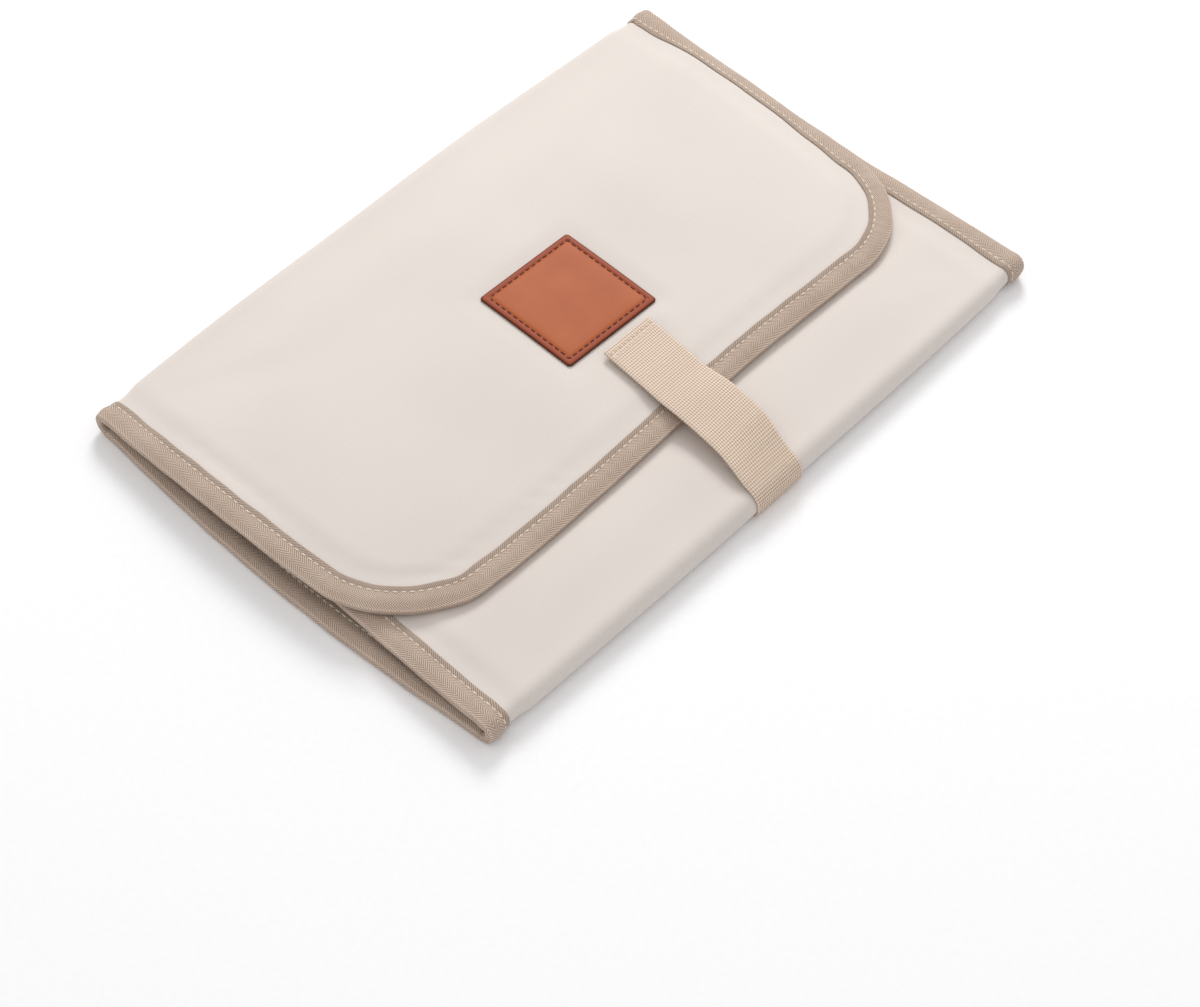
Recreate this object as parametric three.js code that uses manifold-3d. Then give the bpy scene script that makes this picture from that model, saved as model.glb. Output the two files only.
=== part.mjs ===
// A travel changing mat, folded in three and held shut by a webbing strap.
//
// The padded mat is one long strip: a base panel that lies on the table, a front panel folded back
// over it, and a flap with rounded corners folded forward over both. Each fold is a narrow roll
// with a crease at its foot and a crease at its head, so the mat opens out flat. Millimetres, +Z up,
// +X along the folds, +Y towards the back fold, origin under the middle of the folded mat.
import * as THREE from 'three';
import { mergeVertices } from 'three/addons/utils/BufferGeometryUtils.js';
import Module from 'manifold-3d';

const wasm = await Module();
wasm.setup();

// --- The folded mat ---
const FOLD_LENGTH = 400;      // along each fold, across the mat
const FOLDED_DEPTH = 266;     // from the front fold to the back fold
const FOLD_HEIGHT = 14;       // height of the roll at each fold
const SIDE_BOW = 4;           // how far the side edges swell out at mid depth
const FLAP_REACH = 214;       // from the back fold to the flap's free edge
const PANEL_REACH = 133;      // from the front fold to the front panel's hidden edge
const FLAP_CORNER = 56;       // radius of the flap's rounded corners
const FLAP_DRIFT = 9;         // the flap is folded a touch askew: its free edge sits this far to -x
const FLAP_NARROW = 10.5;     // how much the flap draws in on each side towards its free edge
const PANEL_CORNER = 18;      // radius of the front panel's corners
const PANEL_NARROW = 9;       // how much the front panel draws in on each side towards its hidden edge
const FLAP_RISE = 7.8;        // how far the flap climbs to lie on the front panel
const FLAP_REST = 0.5;        // how much it still climbs past the front panel's edge
const PANEL_SINK = 1;         // how far the front panel settles towards the base

// --- What a panel is made of ---
const COVER = 1.0;            // coated outer cloth
const WADDING = 3.4;          // foam sheet
const LINING = 1.0;           // wipe-clean inner cloth
const PLY_GAP = 0.3;          // clearance between touching layers
const PANEL = COVER + WADDING + LINING + 2 * PLY_GAP;

// --- Binding tape folded over the raw edges ---
const TAPE = 0.6;             // thickness of the tape
const TAPE_WIDTH = 13;        // how far it reaches in over the panel
const SEAM = COVER + LINING + 0.4;                  // cover and lining pinched together
const EDGE = SEAM + 2 * (TAPE + PLY_GAP);           // thickness of the bound edge
const SEAM_INSET = TAPE + 1.2;                      // cloth stops short of the tape's fold
const TAPER_START = 3.5;      // the padding starts this far inside the tape
const PINCH = 11;             // width over which the padding tapers to the seam
const FOAM_SHY = 9;           // the foam stops this far inside the tape
const FOAM_EASE = 0.35;       // extra clearance round the tapered edge of the foam
const FOAM_FADE = 40;         // how far in that clearance fades out

// --- Creases ---
const CREASE_R = 3;           // outer radius of the roll's corners, centred on the creases
const CREASE_SLOT = 0.5;      // clearance where a roll turns against a panel

// --- Strap, its fastening patches and the label ---
const STRAP_WIDTH = 33;
const STRAP = 1.4;            // webbing thickness
const STRAP_X = 0;            // middle of the strap where it crosses the front fold
const STRAP_LEAN = 0.08;      // how far it leans to +x for each millimetre back from the fold
const STRAP_OVER_FLAP = 54;   // from the flap's free edge to the strap's tip
const STRAP_SEWN = 45;        // length sewn under the base
const WRAP_END = 0.75;        // angle about the upper crease where the wrap stops, clear of the panel
const STRAP_RISE = 1.2;       // how far the free top has risen off the fold at its crease
const STRAP_LAP = 5;          // overlap of the strap past the flap's bound edge before it lies flat
const PATCH_WIDTH = 27;
const PATCH_LENGTH = 23;
const PATCH = 0.9;            // thickness of each fastening patch
const PATCH_INSET = 2.5;      // patch edge to strap tip
const LABEL = 63;             // side of the square leather label
const LABEL_T = 1.8;
const LABEL_X = 7;            // middle of the label along the fold
const LABEL_GAP = 6.5;        // from the strap's tip to the label
const LABEL_TURN = -0.024;    // the label is sewn on a touch askew, in radians

// --- Derived places ---
const halfDepth = FOLDED_DEPTH / 2;
const creaseY = halfDepth - CREASE_R;               // both creases of a fold stand at this depth
const panelEnd = creaseY - CREASE_R - CREASE_SLOT;  // where the panels stop at a fold
const upperZ = FOLD_HEIGHT - PANEL;                 // underside of a panel as it leaves the fold
const flapEdgeY = halfDepth - FLAP_REACH;
const panelEdgeY = -halfDepth + PANEL_REACH;
const strapTip = flapEdgeY + STRAP_OVER_FLAP;
const labelY = strapTip + LABEL_GAP + LABEL / 2;

const clamp01 = (t) => Math.min(1, Math.max(0, t));
const ease = (t) => clamp01(t) * clamp01(t) * (3 - 2 * clamp01(t));

const colours = {
  cloth: { color: 0xe5dcd2, roughness: 0.82, metalness: 0 },
  foam: { color: 0xf1ece2, roughness: 0.95, metalness: 0 },
  lining: { color: 0xeee9e0, roughness: 0.55, metalness: 0 },
  tape: { color: 0xbfae9c, roughness: 0.9, metalness: 0 },
  webbing: { color: 0xe4ceb8, roughness: 0.85, metalness: 0 },
  patch: { color: 0xdccbb8, roughness: 0.95, metalness: 0 },
  leather: { color: 0xc07858, roughness: 0.5, metalness: 0 },
};

const group = new THREE.Group();

function add(name, look, geometry) {
  const mesh = new THREE.Mesh(geometry, new THREE.MeshStandardMaterial(colours[look]));
  mesh.name = name;
  group.add(mesh);
  return mesh;
}

// --- Plan of a panel: swollen sides, one free edge with rounded corners, or a crease at each end ---
// free: y of the free edge; towards: +1 when the panel lies on the +y side of it;
// drift and narrow: how far the free edge is shifted to -x and drawn in on each side
const basePlan = { free: null, towards: 1, corner: 0, drift: 0, narrow: 0 };
const flapPlan = {
  free: flapEdgeY, towards: 1, corner: FLAP_CORNER, drift: FLAP_DRIFT, narrow: FLAP_NARROW,
};
const panelPlan = { free: panelEdgeY, towards: -1, corner: PANEL_CORNER, drift: 0, narrow: PANEL_NARROW };

// The plan's middle and half length at depth y. Round a corner they keep the value of its start.
function span(plan, y) {
  let at = y;
  let out = 0;
  if (plan.free !== null) {
    const turn = plan.free + plan.corner * plan.towards;
    at = plan.towards > 0 ? Math.max(y, turn) : Math.min(y, turn);
    out = (halfDepth - at * plan.towards) / (halfDepth - plan.free * plan.towards);
  }
  const half = FOLD_LENGTH / 2 + SIDE_BOW * (1 - (at / halfDepth) ** 2) - plan.narrow * out;
  return { middle: -plan.drift * out, half };
}

// Distance in from the bound edge.
function edgeDistance(plan, x, y) {
  const { middle, half } = span(plan, y);
  const side = half - Math.abs(x - middle);
  if (plan.free === null) return side;
  const end = (y - plan.free) * plan.towards;
  const r = plan.corner;
  if (side < r && end < r) return r - Math.hypot(r - side, r - end);
  return Math.min(side, end);
}

// Half length of the plan drawn in by an inset, at depth y.
function insetHalfLength(plan, y, inset) {
  const straight = span(plan, y).half - inset;
  if (plan.free === null) return straight;
  const end = (y - plan.free) * plan.towards;
  const r = plan.corner;
  if (end >= r) return straight;
  const drop = Math.sqrt(Math.max(0, (r - inset) ** 2 - (r - end) ** 2));
  return straight - (r - inset) + drop;
}

// Rows of a panel from its crease to its far end: even steps, then round the corner by angle.
function rowsOf(plan, inset) {
  const rows = [];
  if (plan.free === null) {
    const n = 12;
    for (let i = 0; i <= n; i++) rows.push(-panelEnd + (2 * panelEnd * i) / n);
    return rows;
  }
  const start = panelEnd * plan.towards;
  const turn = plan.free + plan.corner * plan.towards;
  const n = 8;
  for (let i = 0; i < n; i++) rows.push(start + ((turn - start) * i) / n);
  const steps = plan.corner > 20 ? 7 : 5;
  for (let i = 0; i <= steps; i++) {
    const a = (i / steps) * Math.PI / 2;
    rows.push(turn - (plan.corner - inset) * Math.sin(a) * plan.towards);
  }
  return rows;
}

// Columns across a panel, close together over the tape and the taper, wide in the middle.
const columnFractions = [0, 0.04, 0.07, 0.1, 0.14, 0.2, 0.4, 0.7, 1];
const columns = [
  ...columnFractions.map((f) => -(1 - f)),
  ...columnFractions.slice(0, -1).reverse().map((f) => 1 - f),
];

// --- Height of each panel ---
const baseFloor = () => 0;
const panelFloor = (y) => upperZ - PANEL_SINK * clamp01((y + panelEnd) / (panelEdgeY + panelEnd));
function flapFloor(y) {
  const t = (panelEnd - y) / (panelEnd - panelEdgeY);
  const over = clamp01((panelEdgeY - y) / (panelEdgeY - flapEdgeY));
  if (t <= 1) return upperZ + FLAP_RISE * Math.sin(clamp01(t) * Math.PI / 2);
  return upperZ + FLAP_RISE + FLAP_REST * over;
}

// Share of the full padding at a distance in from the bound edge, and the thickness it gives.
const padded = (d) => ease((d - TAPE_WIDTH - TAPER_START) / PINCH);
const loft = (d) => SEAM + (PANEL - SEAM) * padded(d);

// The lower and upper faces of a panel. share: how much of the pinch is taken from below.
function faces(body, x, y) {
  const d = edgeDistance(body.plan, x, y);
  const thick = loft(d);
  const slack = PANEL - thick;
  const low = body.floor(y) + slack * body.share + (1 - padded(d)) * body.lift;
  return [low, low + thick];
}
const seamLift = TAPE + PLY_GAP;
const base = { plan: basePlan, floor: baseFloor, share: 0, lift: seamLift };
const frontPanel = { plan: panelPlan, floor: panelFloor, share: 0.5, lift: 0 };
const flap = { plan: flapPlan, floor: flapFloor, share: 0.5, lift: 0 };

// One layer of a panel: a block whose rows and columns follow the plan, between two heights.
function layer(body, inset, heights) {
  const rows = rowsOf(body.plan, Math.min(inset, Math.max(0, body.plan.corner - 1)));
  const last = rows.length - 1;
  if (body.plan.free !== null) rows[last] = body.plan.free + inset * body.plan.towards;
  const geometry = new THREE.BoxGeometry(1, 1, 1, columns.length - 1, last, 1);
  const p = geometry.attributes.position;
  for (let i = 0; i < p.count; i++) {
    const column = Math.round((p.getX(i) + 0.5) * (columns.length - 1));
    const row = Math.round((p.getY(i) + 0.5) * last);
    const y = rows[body.plan.towards > 0 && body.plan.free !== null ? last - row : row];
    const x = span(body.plan, y).middle + columns[column] * insetHalfLength(body.plan, y, inset);
    const [low, high] = faces(body, x, y);
    const [a, b] = heights(low, high, edgeDistance(body.plan, x, y));
    p.setXYZ(i, x, y, p.getZ(i) < 0 ? a : b);
  }
  return geometry;
}

// Three plies. `coverBelow` is true on the base, whose cover faces the table.
function plies(prefix, body, coverBelow) {
  const foamInset = TAPE_WIDTH + FOAM_SHY;
  const foamGap = (d) => PLY_GAP + FOAM_EASE * (1 - ease((d - foamInset) / FOAM_FADE));
  const bottom = coverBelow ? COVER : LINING;
  const top = coverBelow ? LINING : COVER;
  add(`${prefix}_${coverBelow ? 'cover' : 'lining'}`, coverBelow ? 'cloth' : 'lining',
    layer(body, SEAM_INSET, (low) => [low, low + bottom]));
  add(`${prefix}_foam`, 'foam',
    layer(body, foamInset, (low, high, d) => [low + bottom + foamGap(d), high - top - foamGap(d)]));
  add(`${prefix}_${coverBelow ? 'lining' : 'cover'}`, coverBelow ? 'lining' : 'cloth',
    layer(body, SEAM_INSET, (low, high) => [high - top, high]));
}

// --- Binding: a channel of tape swept round a panel's bound edge ---
function edgePath(plan, side) {
  const points = [];
  const n = 10;
  const from = plan.free === null ? panelEnd : panelEnd * plan.towards;
  const to = plan.free === null ? -panelEnd : plan.free + plan.corner * plan.towards;
  for (let i = 0; i <= n; i++) {
    const y = from + ((to - from) * i) / n;
    const edgeX = (at) => span(plan, at).middle + side * span(plan, at).half;
    const slope = edgeX(y + 0.5) - edgeX(y - 0.5);
    const normal = new THREE.Vector2(-side, side * slope).normalize();
    points.push({ x: edgeX(y), y, nx: normal.x, ny: normal.y });
  }
  return points;
}

function roundedPath(plan) {
  const left = edgePath(plan, -1);
  const right = edgePath(plan, 1).reverse();
  const r = plan.corner;
  const turn = plan.free + r * plan.towards;
  const { middle, half } = span(plan, turn);
  const cx = half - r;
  const arc = (side) => {
    const out = [];
    const n = r > 20 ? 9 : 6;
    for (let i = 1; i <= n; i++) {
      const a = (i / n) * Math.PI / 2;
      const nx = -side * Math.cos(a);
      const ny = plan.towards * Math.sin(a);
      out.push({ x: middle + side * cx - nx * r, y: turn - ny * r, nx, ny });
    }
    return out;
  };
  const front = [];
  for (let i = 1; i < 8; i++) {
    front.push({ x: middle - cx + (2 * cx * i) / 8, y: plan.free, nx: 0, ny: plan.towards });
  }
  return [...left, ...arc(-1), ...front, ...arc(1).reverse(), ...right];
}

// Channel section: u runs in from the edge, v is height from the seam's mid-plane.
function channelSection() {
  const half = EDGE / 2;
  const inner = half - TAPE;
  const s = new THREE.Shape();
  s.moveTo(TAPE_WIDTH, -half);
  s.lineTo(TAPE_WIDTH, -inner);
  s.lineTo(TAPE + 0.2, -inner);
  s.lineTo(TAPE + 0.2, inner);
  s.lineTo(TAPE_WIDTH, inner);
  s.lineTo(TAPE_WIDTH, half);
  s.lineTo(0.9, half);
  s.lineTo(0, half - 0.9);
  s.lineTo(0, -half + 0.9);
  s.lineTo(0.9, -half);
  s.closePath();
  return s;
}

function outward(geometry) {
  geometry.deleteAttribute('normal');
  geometry.deleteAttribute('uv');
  const g = mergeVertices(geometry, 1e-4);
  const p = g.attributes.position;
  const index = g.index.array;
  let volume = 0;
  const a = new THREE.Vector3();
  const b = new THREE.Vector3();
  const c = new THREE.Vector3();
  for (let i = 0; i < index.length; i += 3) {
    a.fromBufferAttribute(p, index[i]);
    b.fromBufferAttribute(p, index[i + 1]);
    c.fromBufferAttribute(p, index[i + 2]);
    volume += a.dot(b.cross(c));
  }
  if (volume < 0) {
    for (let i = 0; i < index.length; i += 3) {
      [index[i + 1], index[i + 2]] = [index[i + 2], index[i + 1]];
    }
  }
  return g;
}

function binding(body, path) {
  const steps = path.length - 1;
  const geometry = new THREE.ExtrudeGeometry(channelSection(), { depth: 1, steps, bevelEnabled: false });
  const p = geometry.attributes.position;
  for (let i = 0; i < p.count; i++) {
    const u = p.getX(i);
    const v = p.getY(i);
    const at = path[Math.round(p.getZ(i) * steps)];
    const x = at.x + at.nx * u;
    const y = at.y + at.ny * u;
    const [low, high] = faces(body, at.x + at.nx * SEAM_INSET, at.y + at.ny * SEAM_INSET);
    p.setXYZ(i, x, y, (low + high) / 2 + v);
  }
  return outward(geometry);
}

// --- Solid helpers ---
function toManifold(geometry) {
  const g = outward(geometry.clone());
  return new wasm.Manifold(new wasm.Mesh({
    numProp: 3,
    vertProperties: new Float32Array(g.attributes.position.array),
    triVerts: new Uint32Array(g.index.array),
  }));
}

function fromManifold(solid) {
  const mesh = solid.getMesh();
  const g = new THREE.BufferGeometry();
  g.setAttribute('position', new THREE.BufferAttribute(new Float32Array(mesh.vertProperties), 3));
  g.setIndex(new THREE.BufferAttribute(new Uint32Array(mesh.triVerts), 1));
  g.computeVertexNormals();
  return g;
}

function block(x0, x1, y0, y1, z0, z1) {
  const g = new THREE.BoxGeometry(x1 - x0, y1 - y0, z1 - z0);
  g.translate((x0 + x1) / 2, (y0 + y1) / 2, (z0 + z1) / 2);
  return g;
}

function cut(geometry, ...tools) {
  let solid = toManifold(geometry);
  for (const tool of tools) solid = solid.subtract(toManifold(tool));
  return fromManifold(solid);
}

// A (y, z) outline drawn out along x.
function alongX(outline, x0, x1) {
  const shape = new THREE.Shape(outline.map(([y, z]) => new THREE.Vector2(y, z)));
  const g = new THREE.ExtrudeGeometry(shape, { depth: x1 - x0, steps: 1, bevelEnabled: false });
  const p = g.attributes.position;
  for (let i = 0; i < p.count; i++) p.setXYZ(i, x0 + p.getZ(i), p.getX(i), p.getY(i));
  return outward(g);
}

// A ribbon of even thickness about a (y, z) centre line.
function ribbon(points, thickness, x0, x1, samples) {
  const curve = new THREE.CatmullRomCurve3(points.map(([y, z]) => new THREE.Vector3(0, y, z)));
  const over = [];
  const under = [];
  for (let i = 0; i <= samples; i++) {
    const at = curve.getPointAt(i / samples);
    const t = curve.getTangentAt(i / samples);
    const ny = -t.z * thickness / 2;
    const nz = t.y * thickness / 2;
    over.push([at.y + ny, at.z + nz]);
    under.push([at.y - ny, at.z - nz]);
  }
  return alongX([...over, ...under.reverse()], x0, x1);
}

// --- The base and its binding ---
const strapX0 = STRAP_X - STRAP_WIDTH / 2;
const strapX1 = STRAP_X + STRAP_WIDTH / 2;
const sewnY0 = -panelEnd + PLY_GAP;
const sewnY1 = sewnY0 + STRAP_SEWN;

plies('base', base, true);
const pocket = block(strapX0 - PLY_GAP, strapX1 + PLY_GAP, -halfDepth, sewnY1 + PLY_GAP,
  -1, STRAP + PLY_GAP);
for (const name of ['base_cover', 'base_foam']) {
  const mesh = group.getObjectByName(name);
  mesh.geometry = cut(mesh.geometry, pocket);
}
add('base_binding_left', 'tape', binding(base, edgePath(basePlan, -1)));
add('base_binding_right', 'tape', binding(base, edgePath(basePlan, 1)));
add('strap_anchor', 'webbing', block(strapX0, strapX1, sewnY0, sewnY1, 0, STRAP));

// --- The flap and the front panel ---
plies('flap', flap, false);
add('flap_binding', 'tape', binding(flap, roundedPath(flapPlan)));
plies('front', frontPanel, false);
add('front_binding', 'tape', binding(frontPanel, roundedPath(panelPlan)));

// --- The rolls at the folds ---
// side: +1 at the back, -1 at the front. The corners are arcs about the two creases.
function rollOutline(side, outer, inner) {
  const arc = (cz, from, r) => {
    const out = [];
    for (let i = 0; i <= 5; i++) {
      const a = from + (i / 5) * Math.PI / 2;
      out.push([side * (creaseY + r * Math.cos(a)), cz + r * Math.sin(a)]);
    }
    return out;
  };
  const lowZ = CREASE_R;
  const highZ = FOLD_HEIGHT - CREASE_R;
  return [
    ...arc(lowZ, -Math.PI / 2, outer),
    ...arc(highZ, 0, outer),
    ...arc(highZ, 0, inner).reverse(),
    ...arc(lowZ, -Math.PI / 2, inner).reverse(),
  ];
}

function roll(prefix, side) {
  const half = FOLD_LENGTH / 2;
  const cloth = half - TAPE_WIDTH - PLY_GAP;
  const wall = alongX(rollOutline(side, CREASE_R, CREASE_R - COVER), -cloth, cloth);
  const y0 = side * (creaseY + CREASE_R - COVER - PLY_GAP);
  const y1 = y0 - side * LINING;
  add(`${prefix}_cover`, 'cloth', wall);
  add(`${prefix}_lining`, 'lining', block(-cloth, cloth, Math.min(y0, y1), Math.max(y0, y1),
    CREASE_R + PLY_GAP, FOLD_HEIGHT - CREASE_R - PLY_GAP));
  for (const [name, end] of [['left', -1], ['right', 1]]) {
    const a = end * (half - TAPE_WIDTH);
    const b = end * half;
    add(`${prefix}_binding_${name}`, 'tape', alongX(
      rollOutline(side, CREASE_R, 0.35), Math.min(a, b), Math.max(a, b)));
  }
}

roll('back_fold', 1);
roll('front_fold', -1);

// --- The strap: sewn end under the base, wrap round the front fold, free top ---
const proud = PLY_GAP + STRAP / 2;                  // strap centre line off the fold's face
const frontY = -halfDepth;
const foldTop = FOLD_HEIGHT + proud;
const wrapLine = [
  [frontY + CREASE_R, STRAP / 2],
  [frontY + 1.2, 1.1],
  [frontY - 0.5, 2.6],
  [frontY - proud, CREASE_R + 1.8],
  [frontY - proud, FOLD_HEIGHT - CREASE_R - 1],
  ...[0.25, 0.5, WRAP_END].map((a) => [
    frontY + CREASE_R - (CREASE_R + proud) * Math.cos(a),
    foldTop - (CREASE_R + proud) * (1 - Math.sin(a)),
  ]),
];
add('strap_wrap', 'webbing', ribbon(wrapLine, STRAP, strapX0, strapX1, 26));
const frontCover = group.getObjectByName('front_fold_cover');
frontCover.geometry = cut(frontCover.geometry, block(strapX0 - PLY_GAP, strapX1 + PLY_GAP,
  frontY - 1, frontY + CREASE_R + 1, -1, CREASE_R + 2.4));

// The free top stands off the front panel: it bows from the fold straight up to the flap's edge.
const flapTop = flapFloor(flapEdgeY + 30) + PANEL;
const edgeTop = flapFloor(flapEdgeY) + (PANEL + EDGE) / 2;
const stack = flapTop + 3 * PLY_GAP + 2 * PATCH + STRAP / 2;
const strapRoot = -panelEnd + CREASE_SLOT - 0.1;
const rootZ = foldTop + STRAP_RISE;
const topLine = [
  [strapRoot, rootZ],
  [strapRoot + 0.22 * (flapEdgeY - strapRoot), rootZ + 0.42 * (edgeTop - rootZ)],
  [strapRoot + 0.5 * (flapEdgeY - strapRoot), rootZ + 0.75 * (edgeTop - rootZ) + 0.4],
  [flapEdgeY - 8, edgeTop + proud + 0.3],
  [flapEdgeY + STRAP_LAP, flapTop + proud + 0.4],
  [flapEdgeY + STRAP_LAP + 15, stack - 0.2],
  [flapEdgeY + STRAP_LAP + 22, stack],
  [strapTip, stack],
];
const lean = (g) => {
  const q = g.attributes.position;
  for (let i = 0; i < q.count; i++) q.setX(i, q.getX(i) + STRAP_LEAN * (q.getY(i) - strapRoot));
  return g;
};
add('strap_top', 'webbing', lean(ribbon(topLine, STRAP, strapX0, strapX1, 48)));

const patchY1 = strapTip - PATCH_INSET;
const patchY0 = patchY1 - PATCH_LENGTH;
const patchX0 = STRAP_X + STRAP_LEAN * ((patchY0 + patchY1) / 2 - strapRoot) - PATCH_WIDTH / 2;
const loopZ = flapTop + PLY_GAP;
const hookZ = stack - STRAP / 2 - PLY_GAP - PATCH;
add('loop_patch', 'patch', block(patchX0, patchX0 + PATCH_WIDTH, patchY0, patchY1, loopZ, loopZ + PATCH));
add('hook_patch', 'patch', block(patchX0, patchX0 + PATCH_WIDTH, patchY0, patchY1, hookZ, hookZ + PATCH));

// --- The label follows the top of the flap ---
const labelGeometry = new THREE.BoxGeometry(LABEL, LABEL, LABEL_T, 4, 8, 1);
const lp = labelGeometry.attributes.position;
for (let i = 0; i < lp.count; i++) {
  const u = lp.getX(i);
  const v = lp.getY(i);
  const x = LABEL_X + u * Math.cos(LABEL_TURN) - v * Math.sin(LABEL_TURN);
  const y = labelY + u * Math.sin(LABEL_TURN) + v * Math.cos(LABEL_TURN);
  lp.setXYZ(i, x, y, faces(flap, x, y)[1] + PLY_GAP + LABEL_T / 2 + lp.getZ(i));
}
add('leather_label', 'leather', labelGeometry);

export default group;
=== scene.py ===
# %% [markdown]
# # A folding travel changing mat
# The mat is one long padded strip, folded in three like a letter: a base on the table, a front
# panel folded back over it, and a flap with round corners folded forward over both. A webbing
# strap closes it. This first cell loads the engineered frame, which fixes every size and joint.
# %% Load the frame
import math
import bmesh
import bpy
import numpy as np
from mathutils import Matrix, Vector


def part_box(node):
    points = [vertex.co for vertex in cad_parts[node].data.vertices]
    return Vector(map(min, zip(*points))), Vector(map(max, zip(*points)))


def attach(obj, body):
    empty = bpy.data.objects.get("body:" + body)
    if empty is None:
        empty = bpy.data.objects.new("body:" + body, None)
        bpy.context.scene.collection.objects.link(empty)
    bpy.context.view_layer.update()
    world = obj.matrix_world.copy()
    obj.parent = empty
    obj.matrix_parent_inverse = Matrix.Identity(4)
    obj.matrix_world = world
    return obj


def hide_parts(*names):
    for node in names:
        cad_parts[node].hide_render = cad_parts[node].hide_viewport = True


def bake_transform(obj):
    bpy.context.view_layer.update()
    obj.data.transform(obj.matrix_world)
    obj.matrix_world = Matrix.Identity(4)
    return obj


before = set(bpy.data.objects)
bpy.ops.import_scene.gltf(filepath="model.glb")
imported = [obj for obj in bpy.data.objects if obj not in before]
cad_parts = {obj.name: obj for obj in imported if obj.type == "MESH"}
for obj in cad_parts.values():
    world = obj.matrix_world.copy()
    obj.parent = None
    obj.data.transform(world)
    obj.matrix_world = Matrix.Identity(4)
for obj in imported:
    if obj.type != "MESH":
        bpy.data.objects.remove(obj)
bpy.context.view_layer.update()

# %% [markdown]
# ## Sizes
# Everything is drawn in millimetres and turned to metres when a mesh is made. The sizes come from
# the frame's own solids, so the cloth always meets the engineered part.
# %% Sizes of the folded mat
MM = 0.001


def low(node):
    return np.array(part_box(node)[0]) / MM


def high(node):
    return np.array(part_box(node)[1]) / MM


HALF_FOLD = high("back_fold_binding_right")[0]       # half the length of a fold
HALF_DEPTH = high("back_fold_cover")[1]              # middle of the mat to a fold's face
FOLD_TOP = high("back_fold_cover")[2]                # height of the roll at a fold
SIDE_BOW = high("base_binding_right")[0] - HALF_FOLD # swell of the side edges
PANEL_END = high("base_cover")[1]                    # where the flat panels meet a roll
FLAP_EDGE = low("flap_binding")[1]                   # free edge of the flap
PANEL_EDGE = high("front_binding")[1]                # hidden edge of the front panel
PLY = high("base_lining")[2]                         # thickness of a padded panel
SEAM = 2.4                                           # the plies pinched together under the tape
TAPE = 0.6                                           # binding tape, one layer
TAPE_WIDTH = 13.0
TAPE_RISE = 0.3                                      # gap from the pinched plies to the tape
PINCH_START, PINCH = 3.5, 11.0                       # taper of the padding inside the tape
FLAP_CORNER, PANEL_CORNER = 56.0, 18.0
FLAP_DRIFT, FLAP_NARROW, PANEL_NARROW = 9.0, 10.5, 9.0 # the flap lies a touch askew; free ends taper
NOSE = HALF_DEPTH - 7.0                              # depth at which a roll starts to turn
print(f"folded {2 * HALF_FOLD:.0f} x {2 * HALF_DEPTH:.0f} mm, rolls {FOLD_TOP:.0f} mm high")

# %% [markdown]
# ## Plan and height of each panel
# A panel is described by two rules: its outline seen from above, and how high it lies. The padding
# is full in the middle and pinched to a thin seam where the tape is sewn on, so one number, the
# distance in from the edge, sets the thickness everywhere.
# %% Plan outlines
def smooth(t):
    t = np.clip(t, 0, 1)
    return t * t * (3 - 2 * t)


class Plan:
    """Outline of a panel: swollen sides and, where free is given, a free edge with round corners."""

    def __init__(self, free=None, towards=1, corner=0.0, drift=0.0, narrow=0.0):
        self.free, self.towards, self.corner = free, towards, corner
        self.drift, self.narrow = drift, narrow
        self.turn = None if free is None else free + corner * towards

    def span(self, y):
        y = np.asarray(y, float)
        at, out = y, np.zeros_like(y)
        if self.free is not None:
            at = np.maximum(y, self.turn) if self.towards > 0 else np.minimum(y, self.turn)
            out = (HALF_DEPTH - at * self.towards) / (HALF_DEPTH - self.free * self.towards)
        half = HALF_FOLD + SIDE_BOW * (1 - (at / HALF_DEPTH) ** 2) - self.narrow * out
        return -self.drift * out, half

    def edge_distance(self, x, y):
        middle, half = self.span(y)
        side = half - np.abs(x - middle)
        if self.free is None:
            return side
        end = (y - self.free) * self.towards
        r = self.corner
        round_corner = r - np.hypot(r - side, r - end)
        return np.where((side < r) & (end < r), round_corner, np.minimum(side, end))

    def half_at(self, y, inset):
        _, half = self.span(y)
        if self.free is None:
            return half - inset
        end = (y - self.free) * self.towards
        r = self.corner
        drop = np.sqrt(np.maximum(0, (r - inset) ** 2 - np.maximum(0, r - end) ** 2))
        return np.where(end >= r, half - inset, half - r + drop)


BASE = Plan()
FLAP = Plan(FLAP_EDGE, 1, FLAP_CORNER, FLAP_DRIFT, FLAP_NARROW)
PANEL = Plan(PANEL_EDGE, -1, PANEL_CORNER, 0.0, PANEL_NARROW)


def padding(d):
    """Share of the full padding at distance d in from the edge."""
    return smooth((d - TAPE_WIDTH - PINCH_START) / PINCH)


print("flap corner turns", round(float(FLAP.corner), 1), "mm round")


# %% Heights of the panels
LEAVE = FOLD_TOP - PLY                               # underside of a panel as it leaves a roll
FLAP_RISE, FLAP_REST, PANEL_SINK = 6.2, 0.5, 1.0
CROWN = {"flap": (3.4, 0.7), "panel": (2.3, -0.8), "base": (0.0, 0.0)}
CURL = {"flap": 3.2, "panel": 0.0, "base": 0.0}      # the flap's right edge hangs a little over the side


def curl(kind, x, y):
    """How far the sewn edge hangs down, only where no panel lies under it."""
    return CURL[kind] * smooth((x - 110) / 60) * smooth((y + 12) / 35) * smooth((NOSE - np.abs(y)) / 45)


def crown(kind, y, d):
    """A padded panel lies lowest at its sewn edge: lift at distance d in, level again at the roll."""
    tape, rest = CROWN[kind]
    lift = tape * np.clip(d / TAPE_WIDTH, 0, 1) + rest * (1 - np.exp(-np.maximum(d - TAPE_WIDTH, 0) / 20))
    return lift * smooth((NOSE - np.abs(y)) / 45)


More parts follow.
